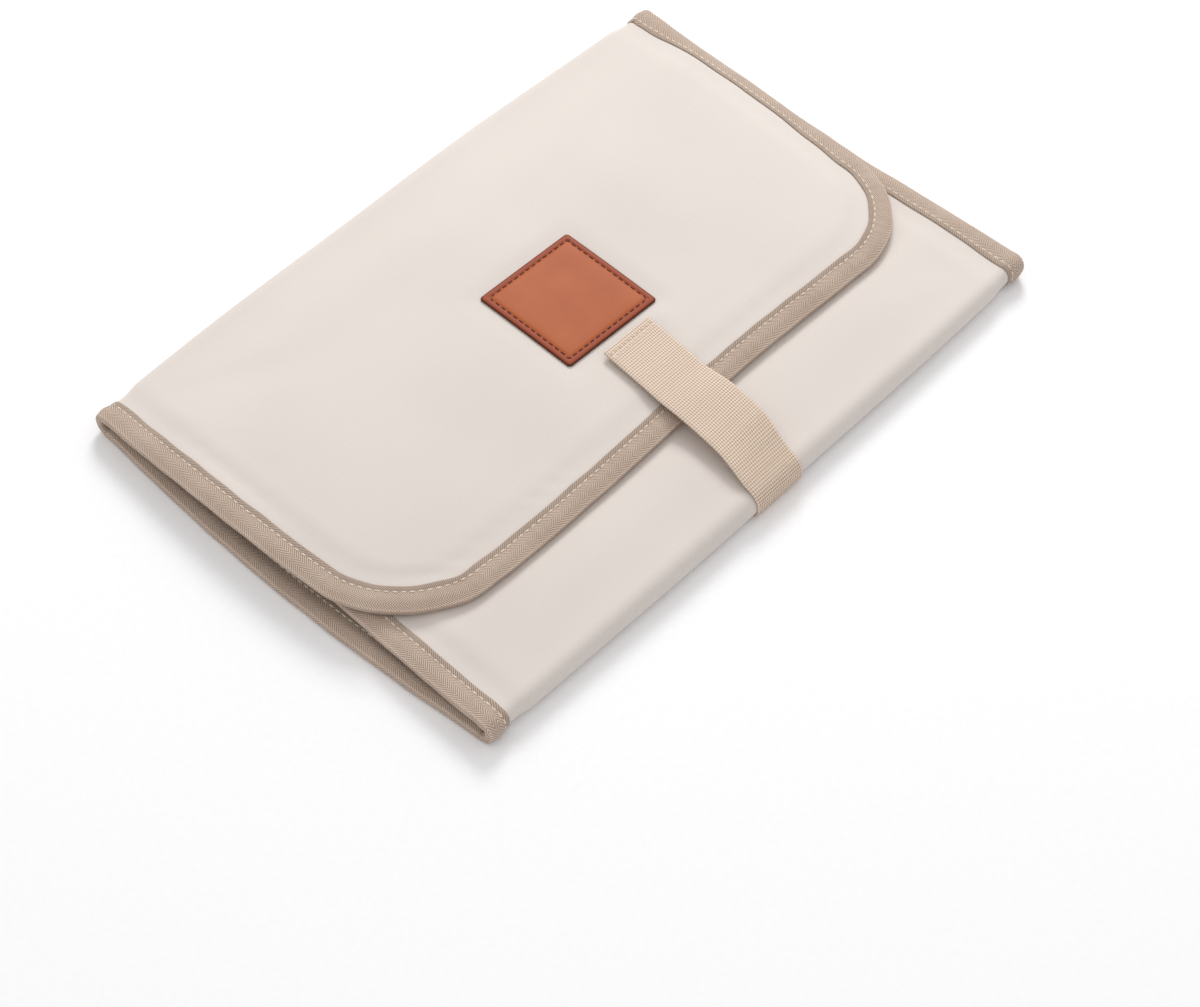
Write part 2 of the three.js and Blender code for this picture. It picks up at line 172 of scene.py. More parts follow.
def flap_floor(y):
    t = (PANEL_END - y) / (PANEL_END - PANEL_EDGE)
    over = np.clip((PANEL_EDGE - y) / (PANEL_EDGE - FLAP_EDGE), 0, 1)
    rise = FLAP_RISE * np.sin(np.clip(t, 0, 1) * np.pi / 2)
    return LEAVE + rise + FLAP_REST * over


def panel_floor(y):
    return LEAVE - PANEL_SINK * np.clip((y + PANEL_END) / (PANEL_EDGE + PANEL_END), 0, 1)


def flap_middle(y):
    """Height of the seam's middle round the flap, eased up to the roll at the back."""
    return flap_floor(y) + PLY / 2 + 0.9 * smooth((y - 95) / 31)


def panel_middle(y):
    return panel_floor(y) + PLY / 2 + 0.9 * smooth((-y - 95) / 31)


def base_middle(y):
    return np.zeros_like(np.asarray(y, float)) + SEAM / 2 + TAPE + TAPE_RISE


print("rolls reach", round(float(FOLD_TOP), 1), "mm above the table")


# %% [markdown]
# ## The rolls
# Cloth that is folded over padding does not make a sharp corner: it makes a soft nose. A
# superellipse gives that shape, rounder than a box and fuller than a circle.
# %% Nose of a roll
NOSE_POWER = 2.3


def nose(side, count, offset=0.0, start=0.0, end=1.0):
    """Points and outward normals (y, z) round a roll, from its foot (0) to its head (1)."""
    a = np.linspace(-np.pi / 2, np.pi / 2, 721)
    c, s = np.cos(a), np.sin(a)
    h = FOLD_TOP / 2
    y = NOSE + (HALF_DEPTH - NOSE) * np.abs(c) ** (2 / NOSE_POWER)
    z = h + h * np.sign(s) * np.abs(s) ** (2 / NOSE_POWER)
    run = np.concatenate([[0], np.cumsum(np.hypot(np.diff(y), np.diff(z)))])
    t = np.linspace(start, end, count) * run[-1]
    yy, zz = np.interp(t, run, y), np.interp(t, run, z)
    e = 0.6
    dy = np.interp(np.clip(t + e, 0, run[-1]), run, y) - np.interp(np.clip(t - e, 0, run[-1]), run, y)
    dz = np.interp(np.clip(t + e, 0, run[-1]), run, z) - np.interp(np.clip(t - e, 0, run[-1]), run, z)
    n = np.hypot(dy, dz)
    ny, nz = dz / n, -dy / n
    return side * (yy + ny * offset), zz + nz * offset, side * ny, nz


FOOT = 0.28                                          # share of the nose that turns with the base
print("a roll stands", round(float(nose(1, 3)[1][2]), 1), "mm high")


# %% [markdown]
# ## Mesh helpers
# Sheets of cloth are grids of points. A grid gives clean quads, a UV map that follows the cloth
# (one UV unit is one metre) and shading without pinches.
# %% Grid and sweep helpers
def new_object(name, verts, faces, uvs=None, material=None, smooth_faces=True):
    mesh = bpy.data.meshes.new(name)
    mesh.from_pydata([tuple(v) for v in np.asarray(verts, float) * MM], [], faces)
    if uvs is not None:
        layer = mesh.uv_layers.new(name="cloth")
        corner_uv = np.asarray(uvs, np.float32).reshape(-1, 2)
        layer.data.foreach_set("uv", corner_uv.ravel() * MM)
    mesh.validate()
    mesh.update()
    if smooth_faces:
        mesh.shade_smooth()
    obj = bpy.data.objects.new(name, mesh)
    bpy.context.scene.collection.objects.link(obj)
    if material is not None:
        mesh.materials.append(material)
    return obj


def grid(name, points, uv, material, wrap=False, flip=False):
    """A sheet from points[row, column] (mm) with uv[row, column] (mm)."""
    rows, cols = points.shape[:2]
    faces, corner_uv = [], []
    last = cols if wrap else cols - 1
    for r in range(rows - 1):
        for c in range(last):
            d = (c + 1) % cols
            quad = [(r, c, c), (r, d, c + 1), (r + 1, d, c + 1), (r + 1, c, c)]
            if flip:
                quad.reverse()
            faces.append([q[0] * cols + q[1] for q in quad])
            for q in quad:
                corner_uv.append(uv[q[0], min(q[2], uv.shape[1] - 1)])
    return new_object(name, points.reshape(-1, 3), faces, np.array(corner_uv), material)


def bake_modifiers(obj):
    """Turn the evaluated shape into a plain mesh and drop the modifiers."""
    dg = bpy.context.evaluated_depsgraph_get()
    mesh = bpy.data.meshes.new_from_object(obj.evaluated_get(dg))
    obj.modifiers.clear()
    old = obj.data
    obj.data = mesh
    bpy.data.meshes.remove(old)
    return obj


def thicken(obj, thickness, levels=0):
    """Give a sheet real thickness, inwards, and close its rim."""
    m = obj.modifiers.new("ply", "SOLIDIFY")
    m.thickness = thickness * MM
    m.offset = -1
    m.use_even_offset = True
    if levels:
        s = obj.modifiers.new("fine", "SUBSURF")
        s.levels = s.render_levels = levels
    return bake_modifiers(obj)


def triangles(obj):
    return sum(len(p.vertices) - 2 for p in obj.data.polygons)


print("helpers ready for grids, sweeps and plain meshes")


# %% [markdown]
# ## Materials
# Each material starts from the real one. Colours are written as sRGB hex and turned to linear by
# one function, and one small function adds a node with its settings and links.
# %% Colour and node helpers
def linear(hex_colour):
    c = np.array([int(hex_colour[i:i + 2], 16) for i in (1, 3, 5)]) / 255
    c = np.where(c <= 0.04045, c / 12.92, ((c + 0.055) / 1.055) ** 2.4)
    return (*map(float, c), 1.0)


def add_node(tree, kind, settings=None, inputs=None):
    """Add one node: its properties or ramp stops, then values or output sockets, by name or in order."""
    node = tree.nodes.new(kind)
    for key, value in (settings or {}).items():
        if key != "stops":
            setattr(node, key, value)
            continue
        stops = node.color_ramp.elements
        while len(stops) < len(value):
            stops.new(0.5)
        for stop, (at, colour) in zip(stops, value):
            stop.position, stop.color = at, colour if isinstance(colour, tuple) else linear(colour)
    pairs = enumerate(inputs) if isinstance(inputs, list) else (inputs or {}).items()
    for key, value in pairs:
        socket = node.inputs[key]
        if isinstance(value, bpy.types.NodeSocket):
            tree.links.new(value, socket)
        else:
            socket.default_value = value
    return node


def new_material(name, **surface):
    m = bpy.data.materials.new(name)
    m.use_nodes = True
    tree = m.node_tree
    shader = tree.nodes["Principled BSDF"]
    for key, value in surface.items():
        shader.inputs[key.replace("_", " ")].default_value = value
    return m, tree, shader


TIMES, PLUS, MINUS, OVER, POWER, ABSOLUTE, SINE, BOUNCE, TIMES_PLUS = [
    ("ShaderNodeMath", {"operation": name}) for name in
    ("MULTIPLY", "ADD", "SUBTRACT", "DIVIDE", "POWER", "ABSOLUTE", "SINE", "PINGPONG", "MULTIPLY_ADD")]
print("brown paper reads", [round(v, 3) for v in linear("#98431f")[:3]], "in linear light")


# %% [markdown]
# ## Coated canvas for the cover
# Cotton canvas with a wipe-clean coat: the eye sees a calm matt cream with only a hint of thread. It
# could be a flat colour, but then large faces look like paper. Two noises cloud the colour, and two
# crossed waves raise the threads. They are 0.5 mm apart, drawn at 0.9 mm so that they just show.
# %% Coated canvas
COVER_HEX = ("#d9d0c9", "#e0d7d0")
CANVAS_THREAD = 0.9


def coated_canvas():
    m, tree, shader = new_material("coated cotton canvas", Roughness=0.72, IOR=1.46, Sheen_Weight=0.12,
                                   Sheen_Roughness=0.5, Specular_IOR_Level=0.3)
    uv = add_node(tree, "ShaderNodeUVMap", {"uv_map": "cloth"}).outputs["UV"]
    where = add_node(tree, "ShaderNodeTexCoord").outputs["Object"]
    cloud, fleck = [add_node(tree, "ShaderNodeTexNoise", None,
                             {"Vector": where, "Scale": scale, "Detail": detail}).outputs["Fac"]
                    for scale, detail in ((9.0, 3.0), (900.0, 2.0))]
    most = add_node(tree, *TIMES, [cloud, 0.75]).outputs[0]
    rest = add_node(tree, *TIMES, [fleck, 0.25]).outputs[0]
    tone = add_node(tree, *PLUS, [most, rest]).outputs[0]
    stops = [(0.3, COVER_HEX[0]), (0.7, COVER_HEX[1])]
    colour = add_node(tree, "ShaderNodeValToRGB", {"stops": stops}, {"Fac": tone}).outputs["Color"]
    tree.links.new(colour, shader.inputs["Base Color"])
    scale = 1 / (CANVAS_THREAD * MM) / 6.28 * 0.5
    warp, weft = [add_node(tree, "ShaderNodeTexWave", {"bands_direction": axis},
                           {"Vector": uv, "Scale": scale, "Distortion": 0.6,
                            "Detail Scale": 40.0}).outputs["Fac"]
                  for axis in "XY"]
    weave = add_node(tree, *TIMES, [warp, weft]).outputs[0]
    threads = add_node(tree, *TIMES, [weave, 0.5]).outputs[0]
    specks = add_node(tree, *TIMES, [fleck, 0.5]).outputs[0]
    height = add_node(tree, *PLUS, [threads, specks]).outputs[0]
    bump = add_node(tree, "ShaderNodeBump", None, {"Strength": 0.12, "Distance": 0.0003, "Height": height})
    tree.links.new(bump.outputs["Normal"], shader.inputs["Normal"])
    return m


CANVAS = coated_canvas()
print("made", CANVAS.name)


# %% [markdown]
# ## Herringbone twill tape for the binding
# Cotton tape woven as herringbone: slanting ribs that change direction every few threads. The
# zigzag is 3.2 mm wide and its ribs 1.3 mm apart, a little coarse so that the slant shows. Painted
# shade darkens the strip between the tape's inner edge and the stitches; a painted highlight lightens its
# fold.
# %% Herringbone tape
TAPE_SECTION_HALF = 15.6                              # half the tape's width, from its edge to its middle
# where the painted shade by the stitches and the painted highlight on the fold lie
TUCK_SHADE, FOLD_HIGHLIGHT = (2.1, 3.1), 12.8                    # distances in from the tape's edge
ZIGZAG, TWILL_RIB = 3.2, 1.3


def herringbone_tape():
    m, tree, shader = new_material("herringbone twill tape", Roughness=0.88, IOR=1.45, Sheen_Weight=0.15,
                                   Specular_IOR_Level=0.2)
    uv = add_node(tree, "ShaderNodeUVMap", {"uv_map": "cloth"}).outputs["UV"]
    part = add_node(tree, "ShaderNodeSeparateXYZ", None, {"Vector": uv})
    along, across = part.outputs["X"], part.outputs["Y"]
    zigzag = add_node(tree, *BOUNCE, [across, ZIGZAG * MM]).outputs[0]
    slant = add_node(tree, *PLUS, [along, zigzag]).outputs[0]
    turns = add_node(tree, *TIMES, [slant, 2 * math.pi / (TWILL_RIB * MM)]).outputs[0]
    wave = add_node(tree, *SINE, [turns]).outputs[0]
    rib = add_node(tree, *TIMES_PLUS, [wave, 0.5, 0.5]).outputs[0]
    fleck, blotch = [add_node(tree, "ShaderNodeTexNoise", None, {"Vector": uv, "Scale": scale, "Detail": 2.0})
                     .outputs["Fac"] for scale in (1500.0, 45.0)]
    shares = [add_node(tree, *TIMES, [part_of, share]).outputs[0]
              for part_of, share in ((rib, 0.5), (fleck, 0.3), (blotch, 0.2))]
    yarn = add_node(tree, *PLUS, [shares[1], shares[2]]).outputs[0]
    tone = add_node(tree, *PLUS, [shares[0], yarn]).outputs[0]
    stops = [(0.2, "#957f6e"), (0.5, "#bea897"), (0.8, "#dccabb")]
    colour = add_node(tree, "ShaderNodeValToRGB", {"stops": stops}, {"Fac": tone}).outputs["Color"]
    # painted shade: within about 2 mm of the tape's inner edge, up to the stitches, the colour is darkened to
    # 0.82
    from_edge = add_node(tree, *BOUNCE, [across, TAPE_SECTION_HALF * MM]).outputs[0]
    tuck = add_node(tree, "ShaderNodeMapRange", {"interpolation_type": "SMOOTHSTEP"},
                    {"Value": from_edge, "From Min": TUCK_SHADE[0] * MM, "From Max": TUCK_SHADE[1] * MM,
                     "To Min": 0.82, "To Max": 1.0}).outputs["Result"]
    # painted highlight: a thin line along the tape's folded edge is lightened by up to 1.18
    past = add_node(tree, *MINUS, [from_edge, FOLD_HIGHLIGHT * MM]).outputs[0]
    off_fold = add_node(tree, *ABSOLUTE, [past]).outputs[0]
    fold = add_node(tree, "ShaderNodeMapRange", {"interpolation_type": "SMOOTHSTEP"},
                    {"Value": off_fold, "From Min": 0.0002, "From Max": 0.0010,
                     "To Min": 1.18, "To Max": 1.0}).outputs["Result"]
    # the painted shade and the painted highlight together scale the tape colour
    painted_shade_and_highlight = add_node(tree, *TIMES, [tuck, fold]).outputs[0]
    shade = add_node(tree, "ShaderNodeVectorMath", {"operation": "SCALE"}, {"Vector": colour, "Scale": painted_shade_and_highlight})
    tree.links.new(shade.outputs["Vector"], shader.inputs["Base Color"])
    specks = add_node(tree, *TIMES, [fleck, 0.5]).outputs[0]
    height = add_node(tree, *PLUS, [rib, specks]).outputs[0]
    bump = add_node(tree, "ShaderNodeBump", None, {"Strength": 0.55, "Distance": 0.0003, "Height": height})
    tree.links.new(bump.outputs["Normal"], shader.inputs["Normal"])
    return m


TAPE_CLOTH = herringbone_tape()
print("made", TAPE_CLOTH.name)


# %% [markdown]
# ## Ribbed webbing for the strap
# Woven cotton with thick cords across its width. The cords are real shape, made with the strap, so
# the material only tints them by the same pitch and adds the lengthwise threads, drawn 1.3 mm apart.
# %% Ribbed webbing
RIB_PITCH, WARP_PITCH = 1.55, 1.3


def ribbed_webbing():
    m, tree, shader = new_material("ribbed cotton webbing", Roughness=0.8, IOR=1.45, Sheen_Weight=0.2,
                                   Specular_IOR_Level=0.25)
    uv = add_node(tree, "ShaderNodeUVMap", {"uv_map": "cloth"}).outputs["UV"]
    part = add_node(tree, "ShaderNodeSeparateXYZ", None, {"Vector": uv})
    ridges = []
    for axis, pitch in (("Y", WARP_PITCH), ("X", RIB_PITCH)):
        turns = add_node(tree, *TIMES, [part.outputs[axis], 2 * math.pi / (pitch * MM)]).outputs[0]
        wave = add_node(tree, *SINE, [turns]).outputs[0]
        ridges.append(add_node(tree, *TIMES_PLUS, [wave, 0.5, 0.5]).outputs[0])
    warp, rib = ridges
    fleck = add_node(tree, "ShaderNodeTexNoise", None,
                     {"Vector": uv, "Scale": 1400.0, "Detail": 2.0}).outputs["Fac"]
    shares = [add_node(tree, *TIMES, [part_of, share]).outputs[0]
              for part_of, share in ((rib, 0.42), (warp, 0.33), (fleck, 0.25), (warp, 0.6))]
    yarn = add_node(tree, *PLUS, [shares[1], shares[2]]).outputs[0]
    tone = add_node(tree, *PLUS, [shares[0], yarn]).outputs[0]
    stops = [(0.15, "#957b66"), (0.45, "#d6bea9"), (0.8, "#f6e6d6")]
    colour = add_node(tree, "ShaderNodeValToRGB", {"stops": stops}, {"Fac": tone}).outputs["Color"]
    tree.links.new(colour, shader.inputs["Base Color"])
    height = add_node(tree, *PLUS, [shares[3], fleck]).outputs[0]
    bump = add_node(tree, "ShaderNodeBump", None, {"Strength": 0.4, "Distance": 0.0002, "Height": height})
    tree.links.new(bump.outputs["Normal"], shader.inputs["Normal"])
    return m


WEBBING = ribbed_webbing()
print("made", WEBBING.name)


# %% [markdown]
# ## Thread
# Spun thread is two plies twisted together, so a stitch is never one flat colour. One function makes
# both threads, and a fine noise moves between a dark and a light shade of each.
# %% Threads
def sewing_thread(name, dark, light):
    m, tree, shader = new_material(name, Roughness=0.65, IOR=1.5)
    where = add_node(tree, "ShaderNodeTexCoord").outputs["Object"]
    fleck = add_node(tree, "ShaderNodeTexNoise", None,
                     {"Vector": where, "Scale": 1600.0, "Detail": 1.0}).outputs["Fac"]
    stops = [(0.35, dark), (0.65, light)]
    colour = add_node(tree, "ShaderNodeValToRGB", {"stops": stops}, {"Fac": fleck}).outputs["Color"]
    tree.links.new(colour, shader.inputs["Base Color"])
    return m


CREAM_THREAD = sewing_thread("cream sewing thread", "#dccbb8", "#f4e8d8")
BROWN_THREAD = sewing_thread("dark brown waxed thread", "#4a1e0c", "#6e2e14")
print("made", CREAM_THREAD.name, "and", BROWN_THREAD.name)


# %% [markdown]
# ## Tan leather for the label
# Vegetable-tanned leather, dyed tan and pressed smooth: a fine closed grain and a satin wax finish.
# The cut edge is burnished nearly brown and the border outside the stitches is pressed darker. Both
# are attributes painted on the label's own points, so they follow its outline exactly.
# %% Leather
def tan_leather():
    m, tree, shader = new_material("pressed tan leather", Roughness=0.5, IOR=1.5, Specular_IOR_Level=0.26)
    where = add_node(tree, "ShaderNodeTexCoord").outputs["Object"]
    grain = add_node(tree, "ShaderNodeTexVoronoi", None,
                     {"Vector": where, "Scale": 1300.0}).outputs["Distance"]
    cloud = add_node(tree, "ShaderNodeTexNoise", None,
                     {"Vector": where, "Scale": 60.0, "Detail": 5.0}).outputs["Fac"]
    stops = [(0.25, "#a85224"), (0.75, "#b35c2c")]
    colour = add_node(tree, "ShaderNodeValToRGB", {"stops": stops}, {"Fac": cloud}).outputs["Color"]
    for attribute, dark in (("border", "#933d17"), ("burnish", "#5f2612")):
        share = add_node(tree, "ShaderNodeAttribute", {"attribute_name": attribute}).outputs["Fac"]
        colour = add_node(tree, "ShaderNodeMix", {"data_type": "RGBA"},
                          {"Factor": share, 6: colour, 7: linear(dark)}).outputs[2]
    tree.links.new(colour, shader.inputs["Base Color"])
    soft = add_node(tree, *TIMES, [cloud, 0.4]).outputs[0]
    height = add_node(tree, *PLUS, [grain, soft]).outputs[0]
    bump = add_node(tree, "ShaderNodeBump", None, {"Strength": 0.12, "Distance": 0.0002, "Height": height})
    tree.links.new(bump.outputs["Normal"], shader.inputs["Normal"])
    return m


LEATHER = tan_leather()
print("made", LEATHER.name)


# %% [markdown]
# ## Lining, foam and fastening tape
# Three plain finishes, each one texture that gives both the colour and the relief. The lining is
# polyester with a waterproof film: nearly white and smooth with a soft shine. The foam is pale and
# matt, pitted with cells about half a millimetre across. The hook and loop tape is a matt nylon felt.
# %% Lining
def wipe_lining():
    m, tree, shader = new_material("film-coated lining", Roughness=0.42, IOR=1.5)
    where = add_node(tree, "ShaderNodeTexCoord").outputs["Object"]
    cloud, fine = [add_node(tree, "ShaderNodeTexNoise", None,
                            {"Vector": where, "Scale": scale, "Detail": detail}).outputs["Fac"]
                   for scale, detail in ((14.0, 4.0), (420.0, 2.0))]
    stops = [(0.3, "#dfd9cf"), (0.7, "#e8e3da")]
    colour = add_node(tree, "ShaderNodeValToRGB", {"stops": stops}, {"Fac": cloud}).outputs["Color"]
    tree.links.new(colour, shader.inputs["Base Color"])
    bump = add_node(tree, "ShaderNodeBump", None, {"Strength": 0.1, "Distance": 0.0003, "Height": fine})
    tree.links.new(bump.outputs["Normal"], shader.inputs["Normal"])
    return m


LINING = wipe_lining()
print("made", LINING.name)


# %% Foam and fastening tape
def pitted(name, texture, output, scatter, stops, surface, relief):
    """A matt finish whose colour and relief come from one texture."""
    m, tree, shader = new_material(name, **surface)
    where = add_node(tree, "ShaderNodeTexCoord").outputs["Object"]
    pits = add_node(tree, texture, None, {"Vector": where, **scatter}).outputs[output]
    colour = add_node(tree, "ShaderNodeValToRGB", {"stops": stops}, {"Fac": pits}).outputs["Color"]
    tree.links.new(colour, shader.inputs["Base Color"])
    bump = add_node(tree, "ShaderNodeBump", None,
                    {"Strength": relief[0], "Distance": relief[1], "Height": pits})
    tree.links.new(bump.outputs["Normal"], shader.inputs["Normal"])
    return m


FOAM = pitted("closed-cell foam sheet", "ShaderNodeTexVoronoi", "Distance", {"Scale": 1700.0},
              [(0.1, "#d8d2c6"), (0.6, "#f0ebe1")], {"Roughness": 0.9, "IOR": 1.4}, (0.3, 0.0003))
FASTENER = pitted("nylon hook and loop tape", "ShaderNodeTexNoise", "Fac", {"Scale": 1800.0, "Detail": 3.0},
                  [(0.3, "#c4b19c"), (0.7, "#e4d4c1")], {"Roughness": 0.9, "IOR": 1.53}, (0.8, 0.0005))
print("made", FOAM.name, "and", FASTENER.name)


# %% [markdown]
# ## Cover and lining
# A padded panel is made the way it is sewn: the plies are held flat along the seam and the padding
# pushes them apart. The cloth starts as a grid laid over the rule for its height; then a short
# cloth simulation inflates it between its seams, which gives the small irregular swell that a
# formula can't.
# %% Rows and columns of a panel
def columns(count):
    """Across a panel: closer together towards the edges."""
    t = np.linspace(-1, 1, count)
    return np.sign(t) * (1 - (1 - np.abs(t)) ** 1.25)


def panel_rows(plan, inset, step):
    if plan.free is None:
        return np.linspace(PANEL_END, -PANEL_END, int(2 * PANEL_END / step))
    s = plan.towards
    straight = np.linspace(NOSE * s, plan.turn, int(abs(NOSE * s - plan.turn) / step), endpoint=False)
    a = np.linspace(0, np.pi / 2, 16 if plan.corner > 30 else 9)
    bend = plan.turn - (plan.corner - inset) * np.sin(a) * s
    return np.concatenate([straight, bend])


KIND = {BASE: "base", FLAP: "flap", PANEL: "panel"}


def settled(plan, x, y):
    """The strap draws the flap's free edge back, its left corner has crept in, the base bows out."""
    if plan is BASE:
        return x - 3.0 * smooth((-x - 120) / 70) * np.maximum(0, 1 - (y / NOSE) ** 2) ** 1.5, y
    if plan is not FLAP:
        return x, y
    back = 3.4 * np.exp(-((x - 40) / 85) ** 2) * smooth((-y - 25) / 50)
    corner = 4.2 * np.exp(-((x + HALF_FOLD) ** 2 + (y - FLAP_EDGE) ** 2) / (2 * 36.0 ** 2))
    return x + corner, y + back + corner


def panel_faces(plan, floor, middle, y, cols, inset=1.5):
    """x, y, top, bottom, share of padding and edge distance on a panel's grid."""
    centre, _ = plan.span(y)
    x = centre[:, None] + cols[None, :] * plan.half_at(y, inset)[:, None]
    yy = np.repeat(y[:, None], len(cols), 1)
    d = plan.edge_distance(x, yy)
    pad = padding(d)
    under, mid = floor(y)[:, None], middle(y)[:, None]
    top = mid + SEAM / 2 + (under + PLY - mid - SEAM / 2) * pad
    bottom = mid - SEAM / 2 + (under - mid + SEAM / 2) * pad
    lift = crown(KIND[plan], yy, d) - curl(KIND[plan], x, yy) * np.clip(1 - d / TAPE_WIDTH, 0, 1)
    return *settled(plan, x, yy), top + lift, bottom + lift, pad, d


print("flap rows:", len(panel_rows(FLAP, 0, 4)), "at 4 mm")


# %% Inflate the padding between its seams
def breathe(name, top, bottom, held, pressure=2.0, cap=1.6):
    """Cloth simulation of a closed pad. Returns how far each point of the top rose (mm)."""
    backwards = top[-1, 0, 1] < top[0, 0, 1]
    if backwards:
        top, bottom, held = top[::-1], bottom[::-1], held[::-1]
    rows, cols = top.shape[:2]
    n = rows * cols
    verts = np.concatenate([top.reshape(-1, 3), bottom.reshape(-1, 3)])
    faces = []
    for r in range(rows - 1):
        for c in range(cols - 1):
            a, b = r * cols + c, r * cols + c + 1
            d, e = a + cols, b + cols
            faces += [[a, b, e, d], [n + d, n + e, n + b, n + a]]
    rim = ([(0, c) for c in range(cols)] + [(r, cols - 1) for r in range(1, rows)]
           + [(rows - 1, c) for c in range(cols - 2, -1, -1)] + [(r, 0) for r in range(rows - 2, 0, -1)])
    ids = [r * cols + c for r, c in rim]
    for i, a in enumerate(ids):
        b = ids[(i + 1) % len(ids)]
        faces.append([a, a + n, b + n, b])
    obj = new_object(name, verts, faces)
    group = obj.vertex_groups.new(name="sewn")
    pin = np.concatenate([held.ravel(), held.ravel()])
    for weight in (0.25, 0.5, 0.75, 1.0):
        chosen = np.nonzero(np.abs(pin - weight) < 0.125)[0]
        if len(chosen):
            group.add(chosen.tolist(), weight, "REPLACE")
    cloth = obj.modifiers.new("inflate", "CLOTH")
    s = cloth.settings
    s.quality, s.mass = 4, 0.3
    s.tension_stiffness = s.compression_stiffness = 12
    s.shear_stiffness, s.bending_stiffness = 6, 0.8
    s.use_pressure, s.uniform_pressure_force = True, pressure
    s.vertex_group_mass = "sewn"
    s.effector_weights.gravity = 0
    cloth.collision_settings.use_collision = False
    cloth.point_cache.frame_start, cloth.point_cache.frame_end = 1, 20
    scene = bpy.context.scene
    for f in range(1, 21):
        scene.frame_set(f)
    dg = bpy.context.evaluated_depsgraph_get()
    ev = obj.evaluated_get(dg).to_mesh()
    co = np.empty(len(ev.vertices) * 3, np.float32)
    ev.vertices.foreach_get("co", co)
    rise = co.reshape(-1, 3)[:, 2] / MM - verts[:, 2]
    obj.evaluated_get(dg).to_mesh_clear()
    data = obj.data
    bpy.data.objects.remove(obj)
    bpy.data.meshes.remove(data)
    scene.frame_set(1)
    rise = cap * np.tanh(np.maximum(rise[:n], 0) / cap).reshape(rows, cols)
    print(f"{name}: rose {rise.max():.2f} mm")
    return rise[::-1] if backwards else rise


# %% Small irregularities of sewn cloth
def ripple(x, y, d, seed):
    """Puckers that a sewn edge leaves in the cloth beside it, and a slow unevenness."""
    rng = np.random.default_rng(seed)
    out = np.zeros_like(x)
    for _ in range(7):
        a = rng.uniform(0, 2 * np.pi)
        k = 2 * np.pi / rng.uniform(60, 150)
        out += 0.10 * np.sin(k * (x * np.cos(a) + y * np.sin(a)) + rng.uniform(0, 6.3))
    near = np.exp(-((d - TAPE_WIDTH - 6) / 6) ** 2)
    for _ in range(4):
        k = 2 * np.pi / rng.uniform(9, 17)
        out += 0.06 * near * np.sin(k * (x + y * rng.uniform(0.6, 1.4)) + rng.uniform(0, 6.3))
    return out * smooth((d - TAPE_WIDTH) / 8)


STEP = 4.0
COLS = columns(101)
COVER, LINING_T, FOAM_GAP = 0.9, 0.7, 0.4
print(f"grid step {STEP} mm, {len(COLS)} columns")

# %% [markdown]
# ## The padded panels
# First the flap and the front panel are inflated, because their tops show. The base lies under
# both, pressed flat. Where the label, the strap and the flap press on a pad, it isn't free to rise.
# %% Puff the flap and the front panel
LABEL_AT = (low("leather_label") + high("leather_label")) / 2
LABEL_SIZE, LABEL_TURN = 63.0, -0.024
STRAP_HALF = high("strap_anchor")[0]
STRAP_TIP = high("strap_top")[1]
STRAP_ROOT, STRAP_LEAN = -126.1, 0.08


def flap_top(x, y):
    """Height of the flap's cloth where it is held down, away from its tape."""
    x, y = np.broadcast_arrays(np.asarray(x, float), np.asarray(y, float))
    return flap_floor(y) + PLY + crown("flap", y, FLAP.edge_distance(x, y))


def strap_middle(y):
    return STRAP_LEAN * np.maximum(0, np.asarray(y, float) - STRAP_ROOT)


def pressed(x, y):
    """1 where the label or the strap's end is fixed to the cloth, 0 well away from them."""
    lx, ly = np.abs(x - LABEL_AT[0]), np.abs(y - LABEL_AT[1])
    label = smooth((LABEL_SIZE / 2 + 9 - np.maximum(lx, ly)) / 9)
    sx = np.abs(x - strap_middle(y))
    strap = smooth((STRAP_HALF + 8 - sx) / 8) * smooth((STRAP_TIP + 6 - y) / 6)
    return np.maximum(label, strap)


def level(y):
    return np.zeros_like(np.asarray(y, float))


def puffed(name, plan, floor, middle, seed, free):
    y = panel_rows(plan, 1.5, STEP)
    x, yy, top, bottom, pad, d = panel_faces(plan, floor, middle, y, COLS)
    held = 1 - pad
    rise = breathe(name, np.dstack([x, yy, top]), np.dstack([x, yy, bottom]), held)
    rise = (rise + 1.6 * ripple(x, yy, d, seed)) * free(x, yy) * smooth((NOSE - np.abs(yy)) / 30)
    return y, x, yy, top + rise, bottom, pad, d


def flap_free(x, y):
    return 1 - pressed(x, y)


def panel_free(x, y):
    return smooth((FLAP_EDGE + 4 - y) / 10) * (1 - smooth((STRAP_HALF + 4 - np.abs(x)) / 8))


FLAP_GRID = puffed("flap pad", FLAP, flap_floor, flap_middle, 11, flap_free)
PANEL_GRID = puffed("front pad", PANEL, panel_floor, panel_middle, 23, panel_free)
BASE_ROWS = panel_rows(BASE, 1.5, STEP)
BASE_GRID = (BASE_ROWS, *panel_faces(BASE, level, base_middle, BASE_ROWS, COLS))
print("puffed the flap and the front panel")

# %% [markdown]
# ## Cover
# The cover is one length of coated canvas that goes round both folds. It is cut here only where a
# joint is: the foot of each roll is a piece of its own, and the rest of the
# roll is one cloth with the panel above it, so that no line shows on the rounded fold.
# %% Cloth round a roll
BULGE = {1: 4.2, -1: 2.4}


def bulge(side, x):
    return BULGE[side] * (1 - (x / HALF_FOLD) ** 2) * (1 - 0.12 * np.cos(x / 31.0 + side))


def round_share(t):
    """The fold swells most on its outer face and carries a part of the swell over its head."""
    return smooth(t / 0.5) * (1 - 0.45 * smooth((t - 0.5) / 0.5))


def head_swell(side, x, y, pad):
    return 0.55 * bulge(side, x) * pad * smooth((side * y - NOSE + 55) / 55)


def strap_window(x):
    return smooth((STRAP_HALF + 3 - np.abs(x)) / 3)


